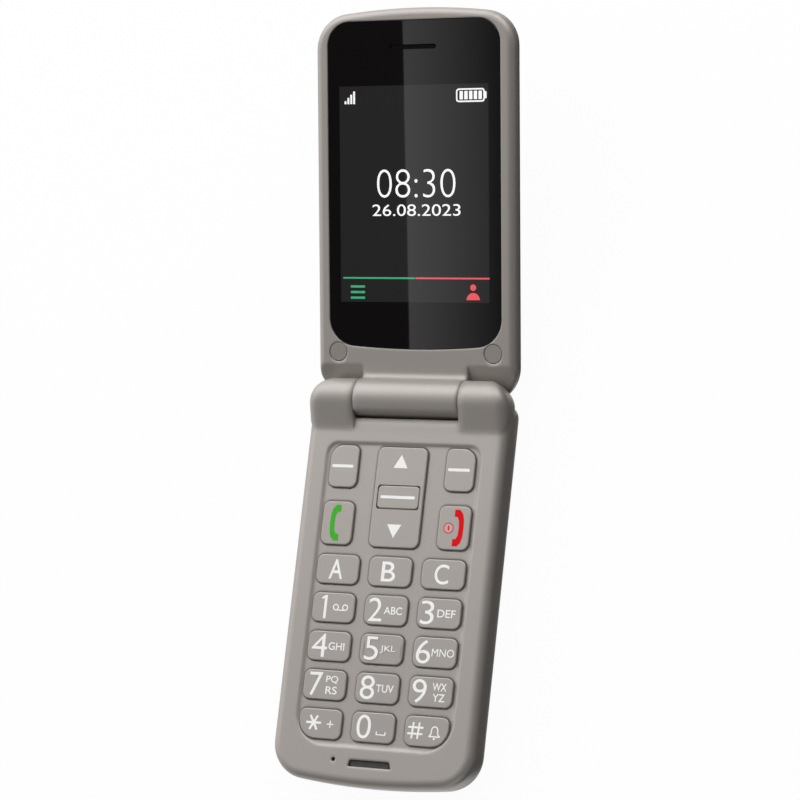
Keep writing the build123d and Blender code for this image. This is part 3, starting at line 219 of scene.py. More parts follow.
# %% [markdown]
# ## Satin metallic paint
# The housings and the keys are moulded ABS with a sprayed taupe paint. It holds fine
# aluminium flake under a satin clear coat, which gives three things to the eye: a soft
# broad highlight, a faint sparkle, and the very slight orange peel of sprayed lacquer.
# Real flake is 0.03 mm and can't be seen from here, so it is drawn at 0.2 mm. The mould's
# corners are blended and the paint pools in them, so creases look soft: much so at the
# knuckles, less so round the keypad. A Bevel node does that to the shading alone.

# %% Satin paint
SOFT_WITHIN = 9.0           # from the hinge axis, mm: creases are softest up to here
CRISP_BEYOND = 11.0         # and crispest from here on
FLAKE = 0.2                 # mm
ORANGE_PEEL = 1.4           # mm from crest to crest
PEEL_DEPTH = 0.003          # mm
FLAKE_GLOSS = 0.03          # the palest flakes are this much less rough than the paint


def crease_radius(tree, hinge_radius, far_radius):
    """The radius that creases are softened by, in metres: one by the hinge, one far off."""
    coords = add(tree, "ShaderNodeTexCoord").outputs["Object"]
    along = add(tree, "ShaderNodeSeparateXYZ", None, {"Vector": coords}).outputs["Y"]
    apart = add(tree, "ShaderNodeMath", {"operation": "SUBTRACT"}, {0: along, 1: HINGE_AT.y})
    off = add(tree, "ShaderNodeMath", {"operation": "ABSOLUTE"}, {0: apart.outputs[0]})
    return add(tree, "ShaderNodeMapRange", None, {
        "Value": off.outputs[0], "From Min": SOFT_WITHIN * MM, "From Max": CRISP_BEYOND * MM,
        "To Min": hinge_radius * MM, "To Max": far_radius * MM,
    }).outputs["Result"]


def satin_paint(name, low, high, roughness=0.44, creases=None):
    """Sprayed metallic paint between two close tones. Creases are two radii, in mm."""
    material, tree, shader = new_material(
        name, Metallic=0.45, Coat_Weight=0.12, Coat_Roughness=0.3,
    )
    flake = speckle(tree, FLAKE, 1.0)
    vary_colour(tree, shader, flake, low, high)
    vary_gloss(tree, shader, flake, roughness, -FLAKE_GLOSS)
    radius = crease_radius(tree, *creases) if creases else None
    bump(tree, shader, speckle(tree, ORANGE_PEEL), PEEL_DEPTH, radius)
    return material


taupe_paint = satin_paint("taupe_satin_paint", "A6A09B", "ABA5A0", creases=(3.0, 1.0))
lid_paint = satin_paint("lid_satin_paint", "A6A09B", "ABA5A0", creases=(1.8, 0.6))
key_paint = satin_paint("key_satin_paint", "A6A09B", "ABA5A0", 0.42)
shell_paint = satin_paint("back_shell_satin_paint", "7C7772", "807B76", 0.5)
print("paints:", taupe_paint.name, lid_paint.name, key_paint.name, shell_paint.name)

# %% [markdown]
# ## The black window
# The lid's window is clear acrylic printed black from behind, except over the display.
# Acrylic is smooth and reflects like glass, so its roughness is low. The display shows
# as a slightly paler rectangle. It is painted by position: Object coordinates are turned
# into the lid's own plane, and two comparisons keep what lies inside the rectangle.

# %% Window
DISPLAY_HALF_W = 21.6       # mm
DISPLAY_HALF_L = 28.8
DISPLAY_MID = 54.5          # along the lid from the hinge axis
DISPLAY_SPANS = (("X", 0, DISPLAY_HALF_W), ("Y", DISPLAY_MID, DISPLAY_HALF_L))
WAVE = 30.0                 # moulded acrylic isn't quite flat: mm from crest to crest
WAVE_DEPTH = 0.01           # mm


def in_display(tree):
    """1 inside the display's rectangle and 0 outside."""
    to_lid = lid_plane().inverted()
    on_lid = add(tree, "ShaderNodeMapping", None, {
        "Vector": add(tree, "ShaderNodeTexCoord").outputs["Object"],
        "Location": to_lid.translation, "Rotation": (-LEAN, 0, 0),
    })
    split = add(tree, "ShaderNodeSeparateXYZ", None, {"Vector": on_lid.outputs["Vector"]})
    inside = None
    for axis, middle, half in DISPLAY_SPANS:
        apart = add(tree, "ShaderNodeMath", {"operation": "SUBTRACT"},
                    {0: split.outputs[axis], 1: middle * MM})
        size = add(tree, "ShaderNodeMath", {"operation": "ABSOLUTE"},
                   {0: apart.outputs[0]})
        near = add(tree, "ShaderNodeMath", {"operation": "LESS_THAN"},
                   {0: size.outputs[0], 1: half * MM})
        inside = near if inside is None else add(
            tree, "ShaderNodeMath", {"operation": "MULTIPLY"},
            {0: inside.outputs[0], 1: near.outputs[0]})
    return inside.outputs[0]


window_acrylic, tree, shader = new_material("black_acrylic_window", Roughness=0.015)
# the Mix node's sockets 6 and 7 are its two colours
tone = add(tree, "ShaderNodeMix", {"data_type": "RGBA"}, {
    0: in_display(tree), 6: colour("141213"), 7: colour("2E2D2E"),
})
tree.links.new(tone.outputs[2], shader.inputs["Base Color"])
bump(tree, shader, speckle(tree, WAVE, 1.0), WAVE_DEPTH)
print("display rectangle", 2 * DISPLAY_HALF_W, "by", 2 * DISPLAY_HALF_L, "mm")

# %% [markdown]
# ## Small parts
# The rest are common finishes: moulded black plastic with a fine spark-eroded grain, a
# soft rubber plug, silicone, tinned and hardened steel, gold flash, solder resist over a
# circuit board, amber polyimide film and a printed battery sleeve. Each gets the pattern
# that the real one has, at its own size.

# %% Plastics and rubbers
GRAIN_GLOSS = 0.06          # how much the roughness changes over the grain


def grained(name, low, high, roughness, grain, depth, metallic=0.0, shine=0.5):
    """Fine grain in the tone, the gloss and the relief. Its size and depth are in mm."""
    material, tree, shader = new_material(name, Metallic=metallic, Specular_IOR_Level=shine)
    noise = speckle(tree, grain)
    vary_colour(tree, shader, noise, low, high)
    vary_gloss(tree, shader, noise, roughness, GRAIN_GLOSS)
    bump(tree, shader, noise, depth)
    return material


black_plastic = grained("moulded_black_abs", "161616", "1E1E1E", 0.55, 0.25, 0.01)
cap_rubber = grained("taupe_rubber_plug", "8D8781", "989189", 0.6, 0.3, 0.01)
silicone = grained("grey_silicone", "3E3E40", "48484A", 0.65, 0.5, 0.01)
sleeve = grained("printed_battery_sleeve", "26272A", "2E2F33", 0.45, 2.0, 0.01)
display_glass = grained("display_glass", "232224", "29282A", 0.12, 3.0, 0.001)
film = grained("amber_polyimide_film", "8A5518", "9C6420", 0.3, 1.0, 0.004)
print(len(bpy.data.materials), "materials so far")

# %% Metals, board and screens
tinned = grained("tinned_steel_sheet", "BDBDBB", "CBCBC9", 0.32, 0.8, 0.003, 1.0)
hard_steel = grained("hardened_steel", "9A9A9B", "A8A8A9", 0.28, 0.4, 0.002, 1.0)
gold = grained("gold_flash", "D6AE62", "E2BE78", 0.25, 0.5, 0.002, 1.0)
board = grained("solder_resist_board", "17482C", "205A38", 0.4, 1.2, 0.008)
screen_wire = grained("blackened_steel_wire", "666361", "73706E", 0.5, 0.3, 0.002, 0.6)
ear_cloth = grained("black_acoustic_cloth", "0C0B0B", "121111", 0.8, 0.3, 0.002, shine=0.2)
print(len(bpy.data.materials), "materials so far")

# %% [markdown]
# ## Which solid wears which finish
# A solid keeps its shape from the frame, and takes a finish in its object's material
# slot. The table goes by what the piece is made of, and every solid has to be in it.

# %% Dress the solids
KEYS = ["soft_key_left", "soft_key_right", "call_key", "end_key", "nav_key", "ok_key",
        "volume_key", "emergency_key"]
KEYS += ["key_" + mark for mark in "a b c 0 1 2 3 4 5 6 7 8 9 star hash".split()]
wears = {
    taupe_paint: ["front_housing"],
    lid_paint: ["lid_inner_frame"],
    shell_paint: ["rear_housing", "lid_outer_cover", "battery_cover"],
    key_paint: KEYS,
    window_acrylic: ["display_window", "camera_window"],
    display_glass: ["lcd_module"],
    sleeve: ["battery"],
    gold: ["battery_contacts", "charge_contacts"],
    board: ["main_board", "lid_board"],
    tinned: ["shield_can", "sim_holder", "usb_port", "lcd_bracket", "vibration_motor"],
    hard_steel: ["hinge_shaft", "housing_screws", "lid_screws", "hinge_cartridge",
                 "lid_magnet"],
    silicone: ["keypad_mat", "microphone"],
    film: ["flex_cable", "base_flex", "dome_sheet"],
    cap_rubber: ["screw_caps"],
    black_plastic: ["antenna", "loudspeaker", "earpiece_speaker", "emergency_switch",
                    "hinge_bush", "camera_module", "sound_mesh"],
    ear_cloth: ["earpiece_mesh"],
}
dressed = set()
for material, names in wears.items():
    for name in names:
        for slot in frame["nodes"][name].material_slots:
            slot.link = "OBJECT"
            slot.material = material
        dressed.add(name)
print("dressed", len(dressed), "- left over:", sorted(set(frame["nodes"]) - dressed))

# %% [markdown]
# ## Printed marks
# The marks on the keys are pad-printed ink about 0.01 mm thick, which shows as a crisp
# flat shape. Each could be a picture on the key, but real outlines stay sharp at any
# distance, so they are cut as thin sheets. A two-dimensional curve fills closed loops
# and leaves a hole where one loop lies in another, which suits letters and signs alike.

# %% Loops
TURN = 2 * pi


def arc(cx, cy, radius, start, end, steps=24):
    """Points on an arc, in turns of a full circle."""
    angles = [TURN * (start + (end - start) * i / steps) for i in range(steps + 1)]
    return [(cx + radius * cos(a), cy + radius * sin(a)) for a in angles]


def circle(cx, cy, radius, steps=32):
    """A circle's loop."""
    return arc(cx, cy, radius, 0, 1, steps)[:-1]


def box_loop(cx, cy, width, height, corner=0.0):
    """A rectangle's loop, with round corners where corner is above 0."""
    x, y = width / 2 - corner, height / 2 - corner
    loop = []
    for sx, sy, start in ((1, 1, 0), (-1, 1, 0.25), (-1, -1, 0.5), (1, -1, 0.75)):
        if corner > 0:
            loop += arc(cx + sx * x, cy + sy * y, corner, start, start + 0.25, 6)
        else:
            loop.append((cx + sx * x, cy + sy * y))
    return loop


print("a circle has", len(circle(0, 0, 1)), "points")

# %% [markdown]
# ## From loops to ink
# Ink is gathered in a sheet, which is a bmesh in flat millimetres. Each call that adds to
# it makes a curve, lets Blender fill it, and keeps the mesh. Loops of one call make holes
# in each other, and loops of two calls don't. The finished sheet is laid on its plane.

# %% Filled loops
INK = 0.02                  # drawn thickness of the ink, mm


def evaluated_mesh(maker):
    """What Blender makes of an object, as a plain mesh. The object is removed."""
    mesh = bpy.data.meshes.new_from_object(
        maker.evaluated_get(bpy.context.evaluated_depsgraph_get()))
    bpy.data.objects.remove(maker)
    return mesh


def add_curve(sheet, data):
    """Fills a curve and moves its mesh into the sheet."""
    mesh = evaluated_mesh(place("maker", data))
    sheet.from_mesh(mesh)
    bpy.data.meshes.remove(mesh)


def add_loops(sheet, *loops):
    """Adds filled loops, in millimetres, to a sheet of ink."""
    data = bpy.data.curves.new("loops", "CURVE")
    data.dimensions = "2D"
    data.fill_mode = "BOTH"
    data.extrude = INK / 2
    for loop in loops:
        line = data.splines.new("POLY")
        line.points.add(len(loop) - 1)
        for point, (x, y) in zip(line.points, loop):
            point.co = (x, y, 0, 1)
        line.use_cyclic_u = True
    add_curve(sheet, data)


def ink_sheet(*groups):
    """A sheet with groups of loops, each group filled on its own."""
    sheet = bmesh.new()
    for loops in groups:
        add_loops(sheet, *loops)
    return sheet


print("ink is drawn", INK, "mm thick")

# %% Lettering, and laying a sheet
LIFT = 0.002                # ink above the surface that it lies on, mm
MERGE = 1e-5                # points this near, in mm, are one


def add_words(sheet, text, x, y, height, width=None, weight=0.0):
    """Adds lettering centred at x, y: its height and width are those of the marks."""
    first = len(sheet.verts)
    data = bpy.data.curves.new("words", "FONT")
    data.body = text
    data.offset = weight
    data.extrude = INK / 2
    data.fill_mode = "BOTH"
    data.resolution_u = 6
    add_curve(sheet, data)
    sheet.verts.ensure_lookup_table()
    made = sheet.verts[first:]
    low = Vector((min(v.co.x for v in made), min(v.co.y for v in made)))
    high = Vector((max(v.co.x for v in made), max(v.co.y for v in made)))
    tall = height / (high.y - low.y)
    wide = width / (high.x - low.x) if width else tall
    for v in made:
        v.co.x = x + (v.co.x - (low.x + high.x) / 2) * wide
        v.co.y = y + (v.co.y - (low.y + high.y) / 2) * tall


def lay(sheet, name, plane, body, material):
    """Turns a sheet of ink into a piece that lies on a plane and rides on a body."""
    mesh = bpy.data.meshes.new(name)
    bmesh.ops.remove_doubles(sheet, verts=sheet.verts, dist=MERGE)
    sheet.to_mesh(mesh)
    sheet.free()
    mesh.transform(plane @ Matrix.Translation((0, 0, INK / 2 * MM)) @ Matrix.Scale(MM, 4))
    mesh.materials.append(material)
    piece = place(name, mesh)
    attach(piece, body)
    return piece


def mark(sheet, name, ink, part=""):
    """Prints a sheet of ink on the middle of a key's top, and lets it ride on the key."""
    low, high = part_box(name)
    top = level_plane((low.x + high.x) / 2, (low.y + high.y) / 2, high.z + LIFT * MM)
    return lay(sheet, "marks_" + name + part, top, name, ink)


print("marks lie", LIFT, "mm above their keys")

# %% Inks
white_ink = grained("white_pad_ink", "FBFBF9", "FFFFFE", 0.6, 0.5, 0.001, shine=0.3)
green_ink = grained("green_pad_ink", "3FAE28", "49B832", 0.6, 0.5, 0.001, shine=0.15)
red_ink = grained("red_pad_ink", "DC0512", "E8101C", 0.6, 0.5, 0.001, shine=0.1)
dull_red_ink = grained("dull_red_pad_ink", "BC2A34", "C6343E", 0.6, 0.5, 0.001, shine=0.2)
pale_red_ink = grained("pale_red_pad_ink", "D9A4A1", "E0ACA8", 0.6, 0.5, 0.001, shine=0.2)
print("inks ready")

# %% [markdown]
# ## Number and letter keys
# Each key carries a tall thin digit left of its middle and, right of it, the letters
# that the digit stands for. The digits share one height and a slim build, so the
# built-in font is squeezed a little. Its 1 is a plain bar, so that one is drawn with its
# flag. All of a key's marks are one piece that moves with the key.

# %% Sizes of the digits and letters
DIGIT_H = 6.2               # mm
DIGIT_Y = 0.1               # digits stand this far above the key's middle
DIGIT_WEIGHT = -0.004       # thinner than the font's own strokes
SMALL_H = 2.05
SMALL_WEIGHT = 0.01
LETTER_X = -0.4
LETTER_H = 5.3
LETTER_W = 4.0
LETTER_WEIGHT = 0.006
ONE = [(0.45, 3.1), (-0.1, 3.1), (-1.2, 2.4), (-1.0, 1.95), (-0.3, 2.35), (-0.3, -3.1),
       (0.45, -3.1)]
# for each digit its x and width, and the words beside it with their x, y and width
digits = {
    "1": (-2.4, None, []),
    "2": (-3.0, 3.95, [("ABC", 2.1, 0, 5.2)]),
    "3": (-3.3, 3.8, [("DEF", 2.1, 0, 5.1)]),
    "4": (-2.7, 4.5, [("GHI", 2.2, 0, 4.6)]),
    "5": (-2.8, 3.95, [("JKL", 1.9, 0, 4.3)]),
    "6": (-3.25, 4.05, [("MNO", 2.3, 0, 6.3)]),
    "7": (-2.55, 3.8, [("PQ", 2.1, 1.4, 3.5), ("RS", 2.1, -1.4, 3.3)]),
    "8": (-2.8, 4.1, [("TUV", 2.2, 0, 5.0)]),
    "9": (-3.2, 4.0, [("WX", 2.4, 1.4, 4.0), ("YZ", 2.4, -1.4, 3.5)]),
    "0": (-2.6, 4.1, []),
}
print(len(digits), "digits, each", DIGIT_H, "mm tall")

# %% [markdown]
# ## Signs beside the 1 and the 0
# Recorded messages are two reels on a bar, and the space in a message is a shallow tray.
# Loops that overlap would cut holes in each other, so each sign is one outline. An arc
# round each reel stops where it meets the bar's top.

# %% Reels and space
REELS = (0.75, 3.45)        # x of the two reels
REEL_R = 0.88
REEL_HOLE = 0.56
JOINS = 0.1145              # where a reel meets the bar's top, in turns below level
SPACE_MID = 2.4
SPACE_HALF = 1.4
SPACE_Y = -1.9
SPACE_RISE = 1.0
SPACE_LINE = 0.3


def reels_sign():
    """Two reels on a bar, as an outline and two holes."""
    left, right = REELS
    outline = arc(left, DIGIT_Y, REEL_R, -0.25, -1 - JOINS)
    outline += arc(right, DIGIT_Y, REEL_R, 0.5 + JOINS, -0.25)
    return [outline] + [circle(x, DIGIT_Y, REEL_HOLE) for x in REELS]


def space_sign():
    """A shallow tray: a bar with its two ends turned up."""
    left, right = SPACE_MID - SPACE_HALF, SPACE_MID + SPACE_HALF
    rim, floor = SPACE_Y + SPACE_RISE, SPACE_Y + SPACE_LINE
    return [[(left, rim), (left + SPACE_LINE, rim), (left + SPACE_LINE, floor),
             (right - SPACE_LINE, floor), (right - SPACE_LINE, rim), (right, rim),
             (right, SPACE_Y), (left, SPACE_Y)]]


print("the reels' outline has", len(reels_sign()[0]), "points")

# %% Print the digits and letters
for digit, (x, width, groups) in digits.items():
    sheet = bmesh.new()
    for word, word_x, word_y, word_w in groups:
        # the strokes of an M would cross if they were bolder
        weight = 0.0 if "M" in word else SMALL_WEIGHT
        add_words(sheet, word, word_x, word_y, SMALL_H, word_w, weight)
    if digit == "1":
        add_loops(sheet, [(x + px, DIGIT_Y + py) for px, py in ONE])
        add_loops(sheet, *reels_sign())
    else:
        add_words(sheet, digit, x, DIGIT_Y, DIGIT_H, width, DIGIT_WEIGHT)
    if digit == "0":
        add_loops(sheet, *space_sign())
    mark(sheet, "key_" + digit, white_ink)
for letter in "abc":
    sheet = bmesh.new()
    add_words(sheet, letter.upper(), LETTER_X, 0.0, LETTER_H, LETTER_W, LETTER_WEIGHT)
    mark(sheet, "key_" + letter, white_ink)
print("marked", len(digits) + 3, "keys")

# %% [markdown]
# ## Star, plus, hash and bell
# The star and the plus are the same function with six arms and with four. The hash
# repeats one of its sides four times, and leans a little. The bell is a dome on a skirt
# with a second one inside it, and a round clapper below.

# %% Star and plus
def crossed_bars(cx, cy, arms, reach, width, start=0.25):
    """The outline of a star of equal bars, the first of which points at start, in turns."""
    valley = width / 2 / sin(pi / arms)
    loop = []
    for step in range(arms):
        angle = TURN * (start + step / arms)
        along = Vector((cos(angle), sin(angle)))
        side = Vector((-along.y, along.x)) * width / 2
        between = angle + pi / arms
        loop += [along * reach - side, along * reach + side,
                 Vector((cos(between), sin(between))) * valley]
    return [(cx + point.x, cy + point.y) for point in loop]


star = crossed_bars(-1.9, 0.2, arms=6, reach=2.15, width=0.62, start=0.0)
plus = crossed_bars(2.9, 0, arms=4, reach=0.95, width=0.32)
mark(ink_sheet([star], [plus]), "key_star", white_ink)
print("the star has", len(star), "points and the plus", len(plus))

# %% Hash and bell
DOME_AT = (2.3, 0.55)
DOME_R = 1.02
DOME_HOLE = 0.68
CLAPPER_Y = -1.75
CLAPPER_R = 0.3


def hash_sign(cx, cy, apart, half, reach, lean):
    """A hash's outline and its hole. The bars run at plus and minus apart."""
    near, far = apart - half, apart + half
    side = [(-far, far), (-far, reach), (-near, reach), (-near, far), (near, far),
            (near, reach), (far, reach)]
    outline = []
    for _ in range(4):
        outline += side
        side = [(y, -x) for x, y in side]
    hole = [(near, near), (-near, near), (-near, -near), (near, -near)]
    return [[(cx + x + lean * y, cy + y) for x, y in loop] for loop in (outline, hole)]


def dome(radius, skirt):
    """Half a circle over a skirt."""
    return arc(*DOME_AT, radius, 0.5, 0.0, 16) + skirt


lattice = hash_sign(-3.1, 0.1, apart=0.83, half=0.25, reach=2.15, lean=0.07)
skirt = [(3.42, -0.5), (3.9, -1.0), (3.9, -1.35), (0.7, -1.35), (0.7, -1.0), (1.18, -0.5)]
inner_skirt = [(3.1, -0.6), (3.4, -1.0), (1.2, -1.0), (1.5, -0.6)]
bell = [dome(DOME_R, skirt), dome(DOME_HOLE, inner_skirt)]
clapper = [circle(DOME_AT[0], CLAPPER_Y, CLAPPER_R, 16)]
mark(ink_sheet(lattice, bell, clapper), "key_hash", white_ink)
print("the hash has", len(lattice[0]), "points and the bell", len(bell[0]))

# %% [markdown]
# ## Handsets, dashes and arrows
# The green and the red handset are one shape, mirrored for the red key. The end key also
# switches the phone on and off, so a small ring with a bar in it stands beside its
# handset: a ring of dull red ink, and paler ink inside it.

# %% Handsets
RING_AT = (-1.5, -0.1)
RING_R = 1.45
RING_HOLE = 1.2
CALL_X = -0.4
END_X = 1.0


def handset(x_mid, side):
    """A receiver seen from the side; its cups point to side, 1 right or -1 left."""
    outer = [(1.1, 4.85), (-0.3, 4.85), (-1.2, 3.9), (-1.65, 2.2), (-1.75, 0.0),
             (-1.65, -2.2), (-1.2, -3.9), (-0.3, -4.85), (1.1, -4.85)]
    inner = [(1.1, -3.0), (0.2, -2.9), (-0.25, -1.9), (-0.4, 0.0), (-0.25, 1.9),
             (0.2, 2.9), (1.1, 3.0)]
    return [(x_mid + x * side, y) for x, y in outer + inner]


ring = [circle(*RING_AT, RING_R), circle(*RING_AT, RING_HOLE)]
ring_bar = box_loop(*RING_AT, width=0.45, height=1.3, corner=0.15)
mark(ink_sheet([handset(CALL_X, 1)]), "call_key", green_ink)
mark(ink_sheet([handset(END_X, -1)]), "end_key", red_ink)
mark(ink_sheet(ring, [ring_bar]), "end_key", dull_red_ink, "_ring")
mark(ink_sheet([ring[1], ring_bar]), "end_key", pale_red_ink, "_fill")
print("a handset has", len(handset(0, 1)), "points")

# %% Dashes and arrows
DASH = 0.8                  # height of a dash, mm
ARROW_LEFT = -2.3
ARROW_RIGHT = 1.8
ARROWS = ((7.85, 11.45), (-7.3, -10.9))      # y of each arrow's base and tip

soft_dash = box_loop(-0.3, 0, width=6.2, height=DASH, corner=0.3)
for side in ("left", "right"):
    mark(ink_sheet([soft_dash]), "soft_key_" + side, white_ink)
arrow_mid = (ARROW_LEFT + ARROW_RIGHT) / 2
arrows = [[[(ARROW_LEFT, base), (ARROW_RIGHT, base), (arrow_mid, tip)]] for base, tip in ARROWS]
mark(ink_sheet(*arrows), "nav_key", white_ink)
mark(ink_sheet([box_loop(-0.15, 0, width=9.85, height=DASH)]), "ok_key", white_ink)
print("the arrows are", round(ARROW_RIGHT - ARROW_LEFT, 1), "mm wide")

# %% [markdown]
# ## The lit display
# The display shows a clock and a date in plain numbers, a signal meter, a battery gauge
# and a coloured line over each soft key. Lit pixels give off their own light, so these
# materials use a little emission. The bars of the meter and the cells of the gauge
# repeat, so a small Geometry Nodes tree makes both: bars in a row that may rise.

# %% Growing meshes with Geometry Nodes
def group_tree(name, sockets):
    """An empty Geometry Nodes tree with named inputs, and its input and output nodes."""
    tree = bpy.data.node_groups.new(name, "GeometryNodeTree")
    for label, kind in sockets:
        tree.interface.new_socket(label, in_out="INPUT", socket_type="NodeSocket" + kind)
    tree.interface.new_socket("Geometry", in_out="OUTPUT", socket_type="NodeSocketGeometry")
    return tree, add(tree, "NodeGroupInput").outputs, tree.nodes.new("NodeGroupOutput")


def finish_tree(tree, geometry, material, out):
    """Ends a tree with real geometry that wears a material."""
    real = add(tree, "GeometryNodeRealizeInstances", None, {"Geometry": geometry})
    painted = add(tree, "GeometryNodeSetMaterial", None,
                  {"Geometry": real.outputs[0], "Material": material})
    tree.links.new(painted.outputs[0], out.inputs[0])
    print("tree", tree.name, "has", len(tree.nodes), "nodes")


def grow(name, tree, values):
    """Runs a tree on an empty mesh with the given inputs and returns the plain mesh."""
    maker = place(name, bpy.data.meshes.new(name))
    modifier = maker.modifiers.new("nodes", "NODES")
    modifier.node_group = tree
    for item in tree.interface.items_tree:
        if item.in_out == "INPUT":
            modifier[item.identifier] = values[item.name]
    return evaluated_mesh(maker)


print(len(bpy.data.node_groups), "trees so far")

# %% Bars in a row
bars_tree, given, out = group_tree("bars_in_a_row", [
    ("Count", "Int"), ("Pitch", "Float"), ("Width", "Float"), ("Height", "Float"),
    ("Rise", "Float"), ("Thickness", "Float"), ("Material", "Material"),
])
step = add(bars_tree, "ShaderNodeCombineXYZ", None, {"X": given["Pitch"]})
row = add(bars_tree, "GeometryNodeMeshLine", None,
          {"Count": given["Count"], "Offset": step.outputs[0]})
tall = add(bars_tree, "ShaderNodeMath", {"operation": "MULTIPLY_ADD"}, {
    0: add(bars_tree, "GeometryNodeInputIndex").outputs[0], 1: given["Rise"],
    2: given["Height"]})
half = add(bars_tree, "ShaderNodeMath", {"operation": "MULTIPLY"},
           {0: tall.outputs[0], 1: 0.5})
raised = add(bars_tree, "ShaderNodeCombineXYZ", None, {"Y": half.outputs[0]})
lifted = add(bars_tree, "GeometryNodeSetPosition", None,
             {"Geometry": row.outputs[0], "Offset": raised.outputs[0]})
size = add(bars_tree, "ShaderNodeCombineXYZ", None, {
    "X": given["Width"], "Y": tall.outputs[0], "Z": given["Thickness"]})
bars = add(bars_tree, "GeometryNodeInstanceOnPoints", None, {
    "Points": lifted.outputs[0],
    "Instance": add(bars_tree, "GeometryNodeMeshCube").outputs[0],
    "Scale": size.outputs[0]})
finish_tree(bars_tree, bars.outputs[0], given["Material"], out)

# %% Lit colours
PIXEL = 0.3                 # real pixels are 0.15 mm; drawn just coarse enough to see


def lit(name, low, high, glow):
    """Pixels of one colour behind the glossy window."""
    material, tree, shader = new_material(name, Roughness=0.06, Emission_Strength=glow)
    tone = vary_colour(tree, shader, speckle(tree, PIXEL, 0.0), low, high)
    tree.links.new(tone, shader.inputs["Emission Color"])
    return material


lit_white = lit("lit_white_pixels", "EEEEEE", "FAFAFA", 0.4)
lit_green = lit("lit_green_pixels", "3AA874", "45B581", 0.3)
lit_red = lit("lit_red_pixels", "EA5357", "F45D61", 0.3)
print("lit colours:", lit_white.name, lit_green.name, lit_red.name)

# %% Meter and gauge
GAUGE_AT = (16.5, 80.3)     # across the lid, and along it from the hinge axis, mm
GAUGE_W = 8.2
GAUGE_H = 3.6
GAUGE_LINE = 0.4
TERMINAL_X = 20.85


def lay_bars(name, x, y, material, **sizes):
    """Grows a row of bars and lays it on the display. Sizes are the tree's inputs, in mm."""
    values = {key.title(): value * (1 if key == "count" else MM) for key, value in sizes.items()}
    mesh = grow(name, bars_tree, {**values, "Thickness": INK * MM, "Material": material})
    mesh.transform(lid_plane(INK / 2 + LIFT) @ Matrix.Translation((x * MM, y * MM, 0)))
    piece = place(name, mesh)
    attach(piece, "lid")
    return piece


lay_bars("signal_meter", -19.8, 78.6, lit_white, count=4, pitch=0.85, width=0.55,
         height=0.8, rise=0.85)
lay_bars("battery_cells", 13.9, 79.2, lit_white, count=5, pitch=1.35, width=0.95,
         height=2.2, rise=0.0)
case = [box_loop(*GAUGE_AT, GAUGE_W, GAUGE_H, 0.8),
        box_loop(*GAUGE_AT, GAUGE_W - 2 * GAUGE_LINE, GAUGE_H - 2 * GAUGE_LINE, 0.5)]
terminal = [box_loop(TERMINAL_X, GAUGE_AT[1], width=0.5, height=1.8, corner=0.1)]
lay(ink_sheet(case, terminal), "battery_gauge", lid_plane(LIFT), "lid", lit_white)
print("the gauge is", GAUGE_W, "mm wide")

# %% Clock, date and soft-key lines
SOFT_LINE_Y = 32.1          # along the lid from the hinge axis, mm
SOFT_LINE = 0.45
SIGN_X = 17.0               # across the lid, of the person sign
TEXT_X = 0.7                # and of the clock and the date

sheet = bmesh.new()
add_words(sheet, "08:30", TEXT_X, 57.3, height=7.5, width=22.8, weight=-0.018)
add_words(sheet, "26.08.2023", TEXT_X, 50.2, height=3.1, width=25.6)
lay(sheet, "clock_digits", lid_plane(LIFT), "lid", lit_white)

left_line = [box_loop(-10.4, SOFT_LINE_Y, 21.0, SOFT_LINE)]
rungs = [[box_loop(-16.6, 29.8 - 1.5 * step, 4.2, 0.6, 0.1)] for step in range(3)]
lay(ink_sheet(left_line, *rungs), "left_soft_line", lid_plane(LIFT), "lid", lit_green)

right_line = [box_loop(11.0, SOFT_LINE_Y, 21.4, SOFT_LINE)]
head = [circle(SIGN_X, 29.7, 0.85, 24)]
shoulders = [arc(SIGN_X, 26.4, 1.9, 0, 0.5, 20)]
lay(ink_sheet(right_line, head, shoulders), "right_soft_line", lid_plane(LIFT), "lid", lit_red)
print("display drawn")

# %% [markdown]
# ## Woven screens
# Fine gauze covers the earpiece and the loudspeaker slot: black cloth above, steel wire
# below. Its threads cross at a fixed pitch, so a second tree lays two rows of thin rods
# over each other.

# %% Gauze tree
gauze_tree, given, out = group_tree("gauze", [
    ("Width", "Float"), ("Height", "Float"), ("Pitch", "Float"), ("Wire", "Float"),
    ("Material", "Material"),
])


